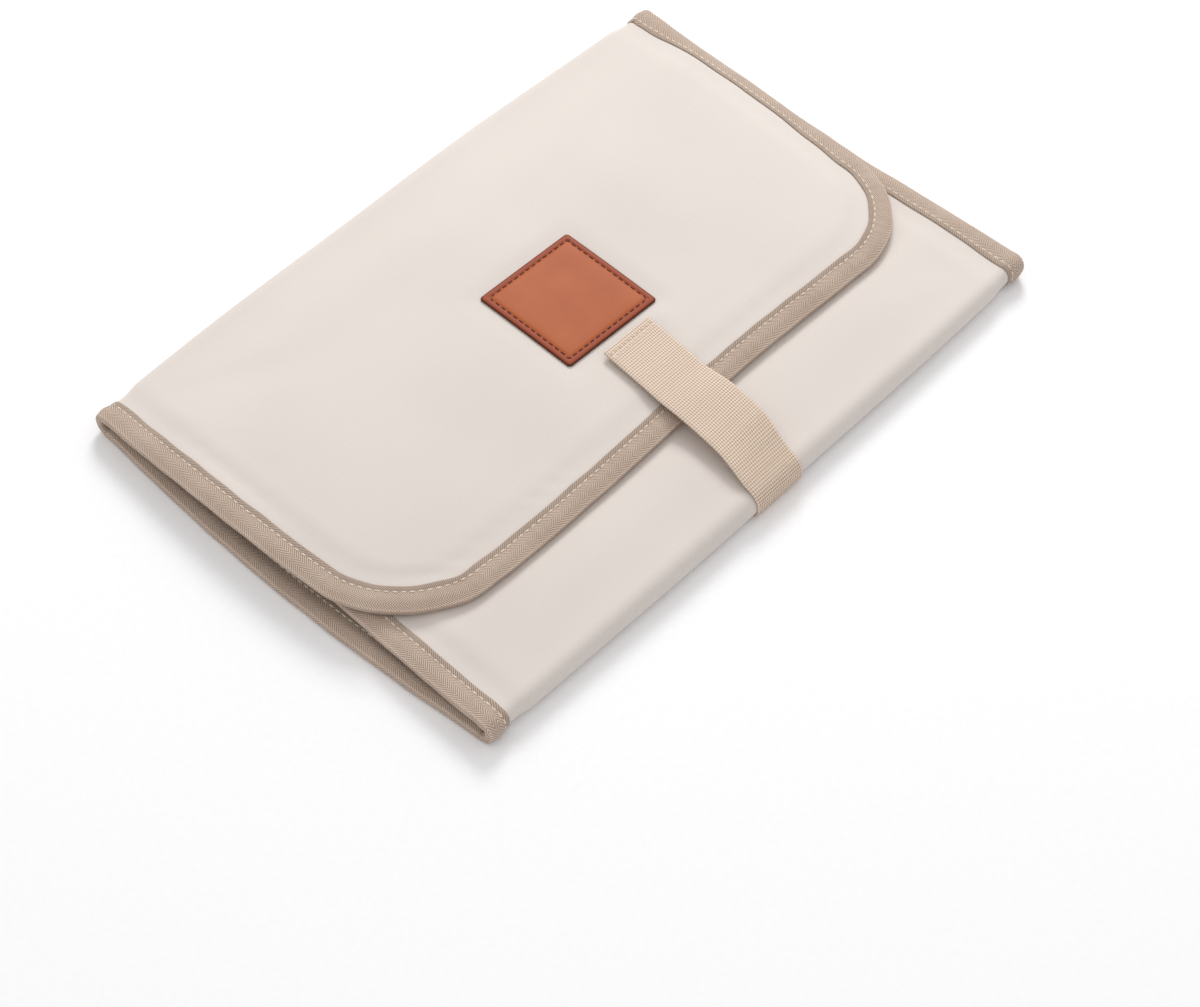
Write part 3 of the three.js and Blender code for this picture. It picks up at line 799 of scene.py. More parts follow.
def roll_rows(side, start, end, count, inset=1.5):
    """Points of the outer cloth round a roll between two shares of its turn."""
    y, z, ny, nz = nose(side, count, 0, start, end)
    _, half = BASE.span(np.clip(y, -HALF_DEPTH, HALF_DEPTH))
    x = COLS[None, :] * (half[:, None] - inset)
    d = half[:, None] - np.abs(x)
    pad = padding(d)
    t = np.linspace(start, end, count)[:, None]
    out = -0.9 * (1 - pad) + pad * bulge(side, x) * round_share(t)
    if side < 0:
        out = out - 1.7 * strap_window(x) * (1 - smooth(t / 0.3))
    return np.dstack([x, y[:, None] + ny[:, None] * out, z[:, None] + nz[:, None] * out])


def arc_uv(points):
    """UV in mm: across the cloth, and along it by the length of its middle column."""
    mid = points[:, points.shape[1] // 2]
    run = np.concatenate([[0], np.cumsum(np.linalg.norm(np.diff(mid, axis=0), axis=1))])
    return np.dstack([points[:, :, 0], np.repeat(run[:, None], points.shape[1], 1)])


def cloth_piece(name, points, upward, thickness, material, levels=1):
    """A sheet with its outer face on the grid; upward says that the grid's middle faces up."""
    a, b = points[1, points.shape[1] // 2], points[0, points.shape[1] // 2]
    along, across = a - b, points[0, -1] - points[0, 0]
    up = np.cross(across, along)[2] > 0
    obj = grid(name, points, arc_uv(points), material, flip=(up != upward))
    return thicken(obj, thickness, levels)


def over_roll(side, panel_points, start):
    """Join the cloth round a roll to the panel that leaves its head."""
    return np.concatenate([roll_rows(side, start, 1.0, 18), panel_points[1:]])


y, x, yy, top, bottom, pad, d = FLAP_GRID
flap_cover = over_roll(1, np.dstack([x, yy, top + head_swell(1, x, yy, pad)]), FOOT)
COVER_PIECES = {"flap_cover_cloth": flap_cover}
y, x, yy, top, bottom, pad, d = PANEL_GRID
COVER_PIECES["front_cover_cloth"] = over_roll(-1, np.dstack([x, yy, top + head_swell(-1, x, yy, pad)]), FOOT)

pieces = {}
for name, points in COVER_PIECES.items():
    # the grid starts low on the roll, so the test for facing up looks at the flat part
    rows_from_panel = points[20:]
    a, b = rows_from_panel[1, 50], rows_from_panel[0, 50]
    up = np.cross(points[0, -1] - points[0, 0], a - b)[2] > 0
    obj = grid(name, points, arc_uv(points), CANVAS, flip=not up)
    pieces[name] = thicken(obj, COVER, 1)
    print(name, triangles(obj), "triangles")

# %% Cloth under the base and round the feet of the rolls
for side, name in ((1, "back_fold_foot_cloth"), (-1, "front_fold_foot_cloth")):
    points = roll_rows(side, 0.0, FOOT, 7)
    a, b = points[1, 50], points[0, 50]
    up = np.cross(points[0, -1] - points[0, 0], a - b)[2] > 0
    pieces[name] = thicken(grid(name, points, arc_uv(points), CANVAS, flip=up), COVER, 1)

y, x, yy, top, bottom, pad, d = BASE_GRID
recess = 1.7 * strap_window(x) * smooth((-78 - yy) / 3)
under = np.dstack([x, yy, bottom + recess])
under[0, :, 1], under[-1, :, 1] = NOSE, -NOSE
pieces["base_cover_cloth"] = cloth_piece("base_cover_cloth", under, False, COVER, CANVAS, 0)
print("base_cover_cloth", triangles(pieces["base_cover_cloth"]), "triangles")

# %% [markdown]
# ## Lining and foam
# The lining is the wipe-clean inside of the strip. At each fold it dips to the stitched fold line,
# where there is no foam, so the opened mat has a shallow valley at each fold. Each foam pad is a
# closed, crowned form that fills the space between the cover and the lining.
# %% Lining of the panels
def dip(y, reach=8.0):
    return smooth((np.abs(y) - 122) / reach)


def lining_points(data, face, dip_ends, dip_to):
    y, x, yy, top, bottom, pad, d = data
    z = (top if face == "top" else bottom).copy()
    ends = []
    for side in dip_ends:
        run = np.array([NOSE + 1.3, NOSE + 2.6, NOSE + 3.8]) * side
        ends.append((side, run))
    rows_y, rows_x, rows_z = yy.copy(), x.copy(), z
    for side, run in ends:
        first = np.sign(y[0] - y[-1]) == side
        edge = 0 if first else -1
        extra_x = np.repeat(x[edge][None, :], 3, 0)
        extra_z = np.repeat(z[edge][None, :], 3, 0)
        run = np.repeat(run[:, None], x.shape[1], 1)
        if first:
            rows_y = np.concatenate([run[::-1], rows_y])
            rows_x, rows_z = np.concatenate([extra_x, rows_x]), np.concatenate([extra_z, rows_z])
        else:
            rows_y = np.concatenate([rows_y, run])
            rows_x, rows_z = np.concatenate([rows_x, extra_x]), np.concatenate([rows_z, extra_z])
    w = np.zeros(rows_y.shape)
    for side in dip_ends:
        w = np.maximum(w, np.where(np.sign(rows_y) == side, dip(rows_y), 0))
    return np.dstack([rows_x, rows_y, rows_z + (dip_to - rows_z) * w])


LINING_PIECES = {
    "base_lining_cloth": (lining_points(BASE_GRID, "top", (1, -1), 3.3), True),
    "flap_lining_cloth": (lining_points(FLAP_GRID, "bottom", (1,), FOLD_TOP - 3.3), False),
    "front_lining_cloth": (lining_points(PANEL_GRID, "bottom", (-1,), FOLD_TOP - 3.3), False),
}
for name, (points, upward) in LINING_PIECES.items():
    pieces[name] = cloth_piece(name, points, upward, LINING_T, LINING, 0)
    print(name, triangles(pieces[name]), "triangles")

# %% Lining inside the rolls
for side, name in ((1, "back_fold_inner_cloth"), (-1, "front_fold_inner_cloth")):
    z = np.linspace(3.3, FOLD_TOP - 3.3, 7)
    y = side * (NOSE + 3.8 + 1.0 * np.sin(np.pi * (z - 3.3) / (FOLD_TOP - 6.6)))
    xs = COLS * (HALF_FOLD - 1.5)
    points = np.dstack([np.repeat(xs[None, :], 7, 0), np.repeat(y[:, None], 101, 1),
                        np.repeat(z[:, None], 101, 1)])
    # its outer face looks towards the middle of the mat
    pieces[name] = thicken(grid(name, points, arc_uv(points), LINING, flip=side > 0), LINING_T, 0)
print("lined the walls of both folds")


# %% Foam pads
def foam_pad(name, data):
    y = data[0]
    margin = TAPE_WIDTH + PINCH_START + 1.5
    keep = [i for i, v in enumerate(y) if abs(v) < PANEL_END - 1]
    plan = {"base_foam_pad": BASE, "flap_foam_pad": FLAP, "front_foam_pad": PANEL}[name]
    if plan.free is not None:
        keep = [i for i in keep if (y[i] - plan.free) * plan.towards > margin]
    y, cols = y[keep], COLS[::2]
    floor, middle = {"base_foam_pad": (level, base_middle), "flap_foam_pad": (flap_floor, flap_middle),
                     "front_foam_pad": (panel_floor, panel_middle)}[name]
    x, yy, t, b, _, d = panel_faces(plan, floor, middle, y, cols, margin)
    mid = (t + b) / 2
    half = np.maximum((t - b) / 2 - COVER - FOAM_GAP, 0.08) * smooth((d - margin) / 5) ** 0.5
    ends = smooth((PANEL_END - np.abs(yy)) / 4) ** 0.5
    half = half * np.where(np.abs(yy) > PANEL_END - 4, ends, 1)
    lid = np.dstack([x, yy, mid + half])
    bed = np.dstack([x, yy, mid - half])
    rows, cc = lid.shape[:2]
    n = rows * cc
    faces = []
    down = y[-1] < y[0]
    for r in range(rows - 1):
        for c in range(cc - 1):
            a, b2 = r * cc + c, r * cc + c + 1
            q = [a, b2, b2 + cc, a + cc]
            faces += [q[::-1], [n + i for i in q]] if down else [q, [n + i for i in q[::-1]]]
    rim = ([(0, c) for c in range(cc)] + [(r, cc - 1) for r in range(1, rows)]
           + [(rows - 1, c) for c in range(cc - 2, -1, -1)] + [(r, 0) for r in range(rows - 2, 0, -1)])
    ids = [r * cc + c for r, c in rim]
    for i, a in enumerate(ids):
        b2 = ids[(i + 1) % len(ids)]
        faces.append([a, b2, b2 + n, a + n] if down else [a, a + n, b2 + n, b2])
    return new_object(name, np.concatenate([lid.reshape(-1, 3), bed.reshape(-1, 3)]), faces, None, FOAM)


for name, data in (("base_foam_pad", BASE_GRID), ("flap_foam_pad", FLAP_GRID),
                   ("front_foam_pad", PANEL_GRID)):
    pieces[name] = foam_pad(name, data)
    print(name, triangles(pieces[name]), "triangles")

# %% [markdown]
# ## Binding tape
# Twill tape is folded over the raw edge of all three plies and sewn through. Its section is drawn
# once: a flat top, a crisp fold, a flat side and a flat bottom, with a shallow groove where the
# stitches pull it down. The section is then swept along the seam, and the ply's own normal keeps
# it square to the cloth round the folds and the corners.
# %% Seam paths
def seam_roll(side, hand, start, end, count):
    y, z, ny, nz = nose(side, count, -2.1, start, end)
    yo = nose(side, count, 0, start, end)[0]
    _, half = BASE.span(np.clip(yo, -HALF_DEPTH, HALF_DEPTH))
    p = np.stack([hand * half, y, z], 1)
    return p, np.stack([np.zeros(count), ny, nz], 1)


def seam_panel(plan, middle, step=3.0):
    """Round a free panel: down the left side, along the free edge and up the right side."""
    s = plan.towards
    y = np.linspace(NOSE * s, plan.turn, int(abs(NOSE * s - plan.turn) / step))
    c, half = plan.span(y)
    left = np.stack([c - half, y], 1)
    right = np.stack([c + half, y], 1)[::-1]
    ct, ht = plan.span(plan.turn)
    a = np.linspace(0, np.pi / 2, 26)[1:]
    r = plan.corner
    bend_l = np.stack([ct - ht + r - r * np.cos(a), plan.turn - r * np.sin(a) * s], 1)
    bend_r = np.stack([ct + ht - r + r * np.cos(a), plan.turn - r * np.sin(a) * s], 1)[::-1]
    xs = np.linspace(bend_l[-1, 0], bend_r[0, 0], int((bend_r[0, 0] - bend_l[-1, 0]) / step))[1:-1]
    edge = np.stack([xs, np.full(len(xs), plan.free)], 1)
    plane = np.concatenate([left, bend_l, edge, bend_r, right])
    z = middle(plane[:, 1]) - curl(KIND[plan], plane[:, 0], plane[:, 1])
    plane = np.stack(settled(plan, plane[:, 0], plane[:, 1]), 1)
    slope = middle(plane[:, 1] + 0.5) - middle(plane[:, 1] - 0.5)
    n = np.stack([np.zeros(len(z)), -slope, np.ones(len(z))], 1)
    return np.column_stack([plane, z]), n / np.linalg.norm(n, axis=1)[:, None]


def seam_base(hand, step=3.0):
    y = np.linspace(NOSE, -NOSE, int(2 * NOSE / step)) * (-hand)
    _, half = BASE.span(y)
    p = np.stack([*settled(BASE, hand * half, y), base_middle(y)], 1)
    return p, np.tile([0.0, 0.0, 1.0], (len(y), 1))


def resample(points, normals, step):
    run = np.concatenate([[0], np.cumsum(np.linalg.norm(np.diff(points, axis=0), axis=1))])
    at = np.linspace(0, run[-1], max(4, int(run[-1] / step)))
    p = np.stack([np.interp(at, run, points[:, i]) for i in range(3)], 1)
    n = np.stack([np.interp(at, run, normals[:, i]) for i in range(3)], 1)
    return p, n / np.linalg.norm(n, axis=1)[:, None], at


print("seam paths ready for the tape and the stitches")


# %% Section of the tape, and its sweep
PITCH_LINE, STITCH_LIFT, TAPE_ARCH = 10.0, 1.95, 0.75


def tape_section():
    """(inward, up) of the outer face from the top's inner edge round to the bottom's, in mm."""
    r = 0.75
    top = [(TAPE_WIDTH, 1.72), (12.6, 1.86), (12.0, 1.98), (11.2, 2.06), (10.5, 1.98), (10.0, 1.84),
           (9.5, 1.98),
           (8.6, 2.08), (7.5, 2.1), (6.4, 2.1), (5.2, 2.1), (4.0, 2.1), (2.8, 2.12), (1.7, 2.12)]
    bend = [(r - r * math.sin(a), 2.12 - r + r * math.cos(a)) for a in np.linspace(0.0, np.pi / 2, 6)]
    half = top + bend + [(-0.12, 0.7), (-0.16, 0.0)]
    lower = [(u, -h) for u, h in half[:-1]][::-1]
    # the padding under the tape's top makes it slightly round between its two edges
    arched = [(u, h + TAPE_ARCH * math.sin(math.pi * u / PITCH_LINE) ** 2)
              if 0 < u < PITCH_LINE and h > 1 else (u, h)
              for u, h in half]
    return np.array(arched + lower)


def section_shell(section, thickness):
    t = np.gradient(section, axis=0)
    n = np.stack([t[:, 1], -t[:, 0]], 1)
    n /= np.linalg.norm(n, axis=1)[:, None]
    inner = section + n * thickness
    # inward normal: towards the pinched plies
    if np.abs(inner[:, 1]).max() > np.abs(section[:, 1]).max() + 0.1:
        inner = section - n * thickness
    return inner


def seam_frame(points, normals, sign):
    t = np.gradient(points, axis=0)
    t /= np.linalg.norm(t, axis=1)[:, None]
    b = sign * np.cross(normals, t)
    b /= np.linalg.norm(b, axis=1)[:, None]
    n = sign * np.cross(t, b)
    return t, b, n


def tape_piece(name, points, normals, sign, seed, kind="base"):
    p, n0, at = resample(points, normals, 1.6)
    t, b, n = seam_frame(p, n0, sign)
    slope = CROWN[kind][0] * smooth((NOSE - np.abs(p[:, 1])) / 45) + curl(kind, p[:, 0], p[:, 1])
    slope = slope / TAPE_WIDTH * (n[:, 2] > 0.8)
    b = b + n * slope[:, None]
    b /= np.linalg.norm(b, axis=1)[:, None]
    n = sign * np.cross(t, b)
    outer = tape_section()
    inner = section_shell(outer, TAPE)[::-1]
    ring = np.concatenate([outer, inner])
    rng = np.random.default_rng(seed)
    wave = sum(rng.uniform(0.04, 0.10) * np.sin(at * 2 * np.pi / rng.uniform(18, 70) + rng.uniform(0, 6.3))
               for _ in range(6))
    tuck = sum(rng.uniform(0.03, 0.06) * np.sin(at * 2 * np.pi / rng.uniform(5, 9) + rng.uniform(0, 6.3))
               for _ in range(4))
    ease = np.minimum(1, np.minimum(at, at[-1] - at) / 6)
    u = ring[None, :, 0] + (wave * ease)[:, None] * np.where(ring[None, :, 0] > 6, 1.4, 0.8)
    swell = np.exp(-((ring[None, :, 0] - 7) / 5) ** 2) * np.sign(ring[None, :, 1])
    h = ring[None, :, 1] + (tuck * ease)[:, None] * swell
    pts = p[:, None, :] + b[:, None, :] * u[:, :, None] + n[:, None, :] * h[:, :, None]
    pts[:, :, 2] = np.maximum(pts[:, :, 2], 0.0)
    across = np.concatenate([[0], np.cumsum(np.linalg.norm(np.diff(outer, axis=0), axis=1))])
    v = np.concatenate([across, across[::-1], [0.0]])
    uv = np.dstack([np.repeat(at[:, None], len(v), 1), np.repeat(v[None, :], len(at), 0)])
    obj = grid(name, pts, uv, TAPE_CLOTH, wrap=True, flip=sign > 0)
    mesh = obj.data
    # close both ends with quads between the outer and the inner face
    m = len(outer)
    size = len(ring)
    rows = len(at)
    faces = [list(q.vertices) for q in mesh.polygons]
    ends = []
    for r, turn in ((0, sign > 0), (rows - 1, sign <= 0)):
        for i in range(m - 1):
            q = [r * size + i, r * size + i + 1, r * size + size - 2 - i, r * size + size - 1 - i]
            ends.append(q if turn else q[::-1])
    corner_uv = np.empty(len(mesh.loops) * 2, np.float32)
    mesh.uv_layers[0].data.foreach_get("uv", corner_uv)
    corner_uv = corner_uv.reshape(-1, 2) / MM
    extra = np.array([uv[q // size, q % size] for f in ends for q in f])
    whole = new_object(name + "_", pts.reshape(-1, 3), faces + ends, np.concatenate([corner_uv, extra]),
                       TAPE_CLOTH)
    bpy.data.objects.remove(obj)
    whole.name = name
    return whole, (p, b, n, at)


def stitch_line(frame_of_seam, face):
    p, b, n, at = frame_of_seam
    return p + b * PITCH_LINE + n * STITCH_LIFT * face, n * face


def joined(*parts):
    pts = np.concatenate([parts[0][0]] + [q[0][1:] for q in parts[1:]])
    nor = np.concatenate([parts[0][1]] + [q[1][1:] for q in parts[1:]])
    return pts, nor


def reverse(part):
    return part[0][::-1], part[1][::-1]


SEAMS = {}
flap_seam = joined(seam_roll(1, -1, FOOT, 1.0, 24), seam_panel(FLAP, flap_middle),
                   reverse(seam_roll(1, 1, FOOT, 1.0, 24)))
pieces["flap_binding_tape"], SEAMS["flap"] = tape_piece("flap_binding_tape", *flap_seam, 1, 3, "flap")
front_seam = joined(seam_roll(-1, -1, FOOT, 1.0, 24), seam_panel(PANEL, panel_middle),
                    reverse(seam_roll(-1, 1, FOOT, 1.0, 24)))
pieces["front_binding_tape"], SEAMS["front"] = tape_piece("front_binding_tape", *front_seam, -1, 4, "panel")
for hand, word in ((-1, "left"), (1, "right")):
    name = f"base_binding_tape_{word}"
    pieces[name], SEAMS[f"base_{word}"] = tape_piece(name, *seam_base(hand), 1, 5 + hand)
    for side, fold in ((1, "back"), (-1, "front")):
        name = f"{fold}_foot_tape_{word}"
        foot = seam_roll(side, hand, 0.0, FOOT, 10)
        pieces[name], SEAMS[f"{fold}_{word}"] = tape_piece(name, *foot, -hand * side, 8)
print("tape pieces:", ", ".join(n for n in pieces if "tape" in n))

# %% [markdown]
# ## Stitches
# A lockstitch is one thread lying on the tape and dipping into it at even steps. It repeats
# hundreds of times, so Geometry Nodes place it: a line along the seam is cut at the stitch pitch,
# and one small stitch is set on each point, turned along the seam and upright on the cloth.
# %% Geometry Nodes: a row of stitches
def stitch_tree():
    tree = bpy.data.node_groups.new("row of stitches", "GeometryNodeTree")
    face = tree.interface
    face.new_socket(name="Line", in_out="INPUT", socket_type="NodeSocketGeometry")
    for label, value in (("Pitch", 0.0041), ("Length", 0.0029), ("Thickness", 0.0009)):
        face.new_socket(name=label, in_out="INPUT", socket_type="NodeSocketFloat").default_value = value
    face.new_socket(name="Thread", in_out="INPUT", socket_type="NodeSocketMaterial")
    face.new_socket(name="Stitches", in_out="OUTPUT", socket_type="NodeSocketGeometry")
    group = add_node(tree, "NodeGroupInput").outputs
    line = add_node(tree, "GeometryNodeMeshToCurve", inputs={"Mesh": group["Line"]})
    even = add_node(tree, "GeometryNodeResampleCurve", {"mode": "LENGTH"},
                    {"Curve": line.outputs["Curve"], "Length": group["Pitch"]})
    up = add_node(tree, "GeometryNodeInputNamedAttribute", {"data_type": "FLOAT_VECTOR"}, {"Name": "up"})
    along = add_node(tree, "GeometryNodeInputTangent")
    turn = add_node(tree, "FunctionNodeAlignRotationToVector", {"axis": "X"}, {"Vector": along.outputs[0]})
    stand = add_node(tree, "FunctionNodeAlignRotationToVector", {"axis": "Z", "pivot_axis": "X"},
                     {"Rotation": turn.outputs[0], "Vector": up.outputs["Attribute"]})
    thread = add_node(tree, "GeometryNodeMeshUVSphere", inputs={"Segments": 10, "Rings": 6, "Radius": 0.5})
    size = add_node(tree, "ShaderNodeCombineXYZ",
                    inputs={"X": group["Length"], "Y": group["Thickness"], "Z": group["Thickness"]})
    stitch = add_node(tree, "GeometryNodeTransform",
                      inputs={"Geometry": thread.outputs["Mesh"], "Scale": size.outputs[0]})
    vary = add_node(tree, "FunctionNodeRandomValue", {"data_type": "FLOAT"}, {"Seed": 4})
    vary.inputs[2].default_value, vary.inputs[3].default_value = 0.92, 1.06
    rows = add_node(tree, "GeometryNodeInstanceOnPoints",
                    inputs={"Points": even.outputs["Curve"], "Instance": stitch.outputs["Geometry"],
                            "Rotation": stand.outputs[0], "Scale": vary.outputs[1]})
    real = add_node(tree, "GeometryNodeRealizeInstances", inputs={"Geometry": rows.outputs["Instances"]})
    soft = add_node(tree, "GeometryNodeSetShadeSmooth", inputs={"Geometry": real.outputs["Geometry"]})
    done = add_node(tree, "GeometryNodeSetMaterial",
                    inputs={"Geometry": soft.outputs["Geometry"], "Material": group["Thread"]})
    add_node(tree, "NodeGroupOutput", inputs={"Stitches": done.outputs["Geometry"]})
    return tree


STITCHES = stitch_tree()


def apply_tree(obj, tree, **values):
    """Run a Geometry Nodes tree on an object, set its inputs, and keep the result as plain mesh."""
    m = obj.modifiers.new("nodes", "NODES")
    m.node_group = tree
    ids = {i.name: i.identifier for i in tree.interface.items_tree
           if i.item_type == "SOCKET" and i.in_out == "INPUT"}
    for key, value in values.items():
        m[ids[key]] = value
    bake_modifiers(obj)
    finish = next(v for v in values.values() if isinstance(v, bpy.types.Material))
    obj.data.materials.clear()
    obj.data.materials.append(finish)
    obj.data.polygons.foreach_set("material_index", [0] * len(obj.data.polygons))
    return obj


def sew(name, lines, thread, pitch=4.1, length=2.9, thickness=0.82):
    """Rows of stitches along lines of (points, normals) in mm."""
    verts, edges, ups = [], [], []
    for pts, nor in lines:
        k = len(verts)
        verts += [tuple(v) for v in pts * MM]
        ups += [tuple(v) for v in nor]
        edges += [(k + i, k + i + 1) for i in range(len(pts) - 1)]
    mesh = bpy.data.meshes.new(name)
    mesh.from_pydata(verts, edges, [])
    attribute = mesh.attributes.new("up", "FLOAT_VECTOR", "POINT")
    attribute.data.foreach_set("vector", np.array(ups, np.float32).ravel())
    obj = bpy.data.objects.new(name, mesh)
    bpy.context.scene.collection.objects.link(obj)
    apply_tree(obj, STITCHES, Pitch=pitch * MM, Length=length * MM, Thickness=thickness * MM, Thread=thread)
    print(name, triangles(obj), "triangles")
    return obj


# %% Sew the tape on
SEWN = {"flap_stitches": "flap", "front_stitches": "front", "base_stitches_left": "base_left",
        "base_stitches_right": "base_right"}
for name, seam in SEWN.items():
    pieces[name] = sew(name, [stitch_line(SEAMS[seam], 1), stitch_line(SEAMS[seam], -1)], CREAM_THREAD)
print("sewn:", ", ".join(SEWN))

# %% [markdown]
# ## Strap
# The strap is one length of thick cotton webbing. It is sewn flat under the base, goes round the
# front fold, and then stands off the front panel on its way up to the flap. Its cords run across
# its width, so a Geometry Nodes tree raises one cord after another along a plain ribbon.
# %% Path of the strap
WEB = 1.4
PATCH_Y = (low("hook_patch")[1] + high("hook_patch")[1]) / 2
PATCH_T, STACK_GAP = 0.9, 0.3
LOOP_Z = float(flap_top(7.0, PATCH_Y)) + STACK_GAP
HOOK_Z = LOOP_Z + PATCH_T + 0.15
STACK = HOOK_Z + PATCH_T + 0.15 + WEB / 2


def strap_path():
    foot = np.stack([np.linspace(-81.2, -NOSE, 24), np.full(24, WEB / 2 + 0.05)], 1)
    t = np.linspace(0, 0.84, 40)
    off = -WEB / 2 - 0.05 + (WEB + 0.55 + BULGE[-1] * 0.75) * smooth(t / 0.3)
    rows = []
    for tt, oo in zip(t, off):
        y, z, _, _ = nose(-1, 2, oo, max(tt - 1e-4, 0), max(tt, 1e-4))
        rows.append((y[1], max(z[1], WEB / 2 + 0.05)))
    free = [(-123.0, 19.2), (-116.0, 21.6), (-107, 23.4), (-97, 24.5), (FLAP_EDGE - 6, 24.9),
            (FLAP_EDGE + 6, STACK - 1.3), (FLAP_EDGE + 18, STACK - 0.5), (FLAP_EDGE + 30, STACK),
            (STRAP_TIP - 12, STACK + 0.1), (STRAP_TIP, STACK + 0.5)]
    pts = np.array([tuple(v) for v in foot] + rows[1:] + free)
    run = np.concatenate([[0], np.cumsum(np.hypot(*np.diff(pts, axis=0).T))])
    at = np.arange(0, run[-1], 0.3)
    p = np.stack([np.interp(at, run, pts[:, 0]), np.interp(at, run, pts[:, 1])], 1)
    for _ in range(90):                                # webbing is stiff: its line has no kinks
        p[1:-1] = (p[:-2] + 2 * p[1:-1] + p[2:]) / 4
    return p, at


STRAP_LINE, STRAP_AT = strap_path()
print(f"strap line {STRAP_AT[-1]:.0f} mm")


# %% Geometry Nodes: cords of the webbing
def cord_tree():
    tree = bpy.data.node_groups.new("webbing cords", "GeometryNodeTree")
    face = tree.interface
    face.new_socket(name="Ribbon", in_out="INPUT", socket_type="NodeSocketGeometry")
    for label, value in (("Pitch", 0.00155), ("Height", 0.00028)):
        face.new_socket(name=label, in_out="INPUT", socket_type="NodeSocketFloat").default_value = value
    face.new_socket(name="Webbing", in_out="INPUT", socket_type="NodeSocketMaterial")
    face.new_socket(name="Ribbed", in_out="OUTPUT", socket_type="NodeSocketGeometry")
    group = add_node(tree, "NodeGroupInput").outputs
    along = add_node(tree, "GeometryNodeInputNamedAttribute", {"data_type": "FLOAT"}, {"Name": "along"})
    turns = add_node(tree, *OVER, [along.outputs["Attribute"], group["Pitch"]]).outputs[0]
    phase = add_node(tree, *TIMES, [turns, math.pi]).outputs[0]
    wave = add_node(tree, *SINE, [phase]).outputs[0]
    cord = add_node(tree, *ABSOLUTE, [wave]).outputs[0]
    rounded = add_node(tree, *POWER, [cord, 0.7]).outputs[0]
    lift = add_node(tree, *TIMES, [rounded, group["Height"]]).outputs[0]
    normal = add_node(tree, "GeometryNodeInputNormal")
    move = add_node(tree, "ShaderNodeVectorMath", {"operation": "SCALE"},
                    {"Vector": normal.outputs["Normal"], "Scale": lift})
    raised = add_node(tree, "GeometryNodeSetPosition",
                      inputs={"Geometry": group["Ribbon"], "Offset": move.outputs["Vector"]})
    real = add_node(tree, "GeometryNodeRealizeInstances", inputs={"Geometry": raised.outputs["Geometry"]})
    done = add_node(tree, "GeometryNodeSetMaterial",
                    inputs={"Geometry": real.outputs["Geometry"], "Material": group["Webbing"]})
    add_node(tree, "NodeGroupOutput", inputs={"Ribbed": done.outputs["Geometry"]})
    return tree


CORDS = cord_tree()


def webbing(name, first, last):
    """A stretch of the strap between two lengths along its line: a closed ribbon, then its cords."""
    pick = (STRAP_AT >= first - 1e-6) & (STRAP_AT <= last + 1e-6)
    p, at = STRAP_LINE[pick], STRAP_AT[pick]
    t = np.gradient(p, axis=0)
    t /= np.linalg.norm(t, axis=1)[:, None]
    n = np.stack([t[:, 1], -t[:, 0]], 1)
    half, thick = STRAP_HALF, WEB / 2 - 0.14
    ring = [(-half + 0.5, 1), *[(x, 1) for x in np.linspace(-half + 2, half - 2, 15)],
            (half - 0.5, 1), (half, 0), (half - 0.5, -1),
            *[(x, -1) for x in np.linspace(half - 2, -half + 2, 15)], (-half + 0.5, -1), (-half, 0)]
    ring = np.array(ring, float)
    cx = strap_middle(p[:, 0]) * (at > SPLIT[2] - 1)
    pts = np.empty((len(p), len(ring), 3))
    pts[:, :, 0] = cx[:, None] + ring[None, :, 0]
    pts[:, :, 1] = p[:, :1] - n[:, :1] * ring[None, :, 1] * thick
    pts[:, :, 2] = p[:, 1:] - n[:, 1:] * ring[None, :, 1] * thick
    # over the gap the right edge of the webbing stands a little higher than the left
    arch = smooth((p[:, 0] - STRAP_ROOT) / 22) * smooth((FLAP_EDGE + 18 - p[:, 0]) / 26) * (at > SPLIT[2] - 1)
    pts[:, :, 2] += arch[:, None] * 3.2 * smooth((ring[None, :, 0] + half) / (2 * half))
    pts[:, :, 0] += arch[:, None] * 1.5
    v = np.concatenate([[0], np.cumsum(np.hypot(*np.diff(ring, axis=0).T))])
    v = np.concatenate([v, [v[-1] + 1]])
    uv = np.dstack([np.repeat(at[:, None], len(v), 1), np.repeat(v[None, :], len(at), 0)])
    obj = grid(name, pts, uv, WEBBING, wrap=True)
    size = len(ring)
    mesh = obj.data
    caps = [list(range(size)), list(range((len(at) - 1) * size, len(at) * size))]
    bm = bmesh.new()
    bm.from_mesh(mesh)
    bm.verts.ensure_lookup_table()
    for cap in caps:
        for i in range(size // 2 - 1):
            corners = cap[i], cap[i + 1], cap[size - 2 - i], cap[size - 1 - i]
            bm.faces.new([bm.verts[k] for k in corners])
    bmesh.ops.recalc_face_normals(bm, faces=bm.faces)
    for f in bm.faces:
        f.smooth = True
    bm.to_mesh(mesh)
    bm.free()
    attribute = mesh.attributes.new("along", "FLOAT", "POINT")
    attribute.data.foreach_set("value", np.repeat(at * MM, size).astype(np.float32))
    apply_tree(obj, CORDS, Pitch=RIB_PITCH * MM, Height=0.28 * MM, Webbing=WEBBING)
    print(name, triangles(obj), "triangles")
    return obj


def length_at(test):
    return float(STRAP_AT[np.argmax(test(STRAP_LINE))])


SPLIT = [length_at(lambda p: p[:, 0] <= -NOSE), length_at(lambda p: (p[:, 0] < -129) & (p[:, 1] > 2.3)),
         length_at(lambda p: (p[:, 1] > 12) & (p[:, 0] > STRAP_ROOT))]
pieces["strap_sewn_end"] = webbing("strap_sewn_end", 0, SPLIT[0])
pieces["strap_foot"] = webbing("strap_foot", SPLIT[0], SPLIT[1])
pieces["strap_round_fold"] = webbing("strap_round_fold", SPLIT[1], SPLIT[2])
pieces["strap_free_top"] = webbing("strap_free_top", SPLIT[2], STRAP_AT[-1])


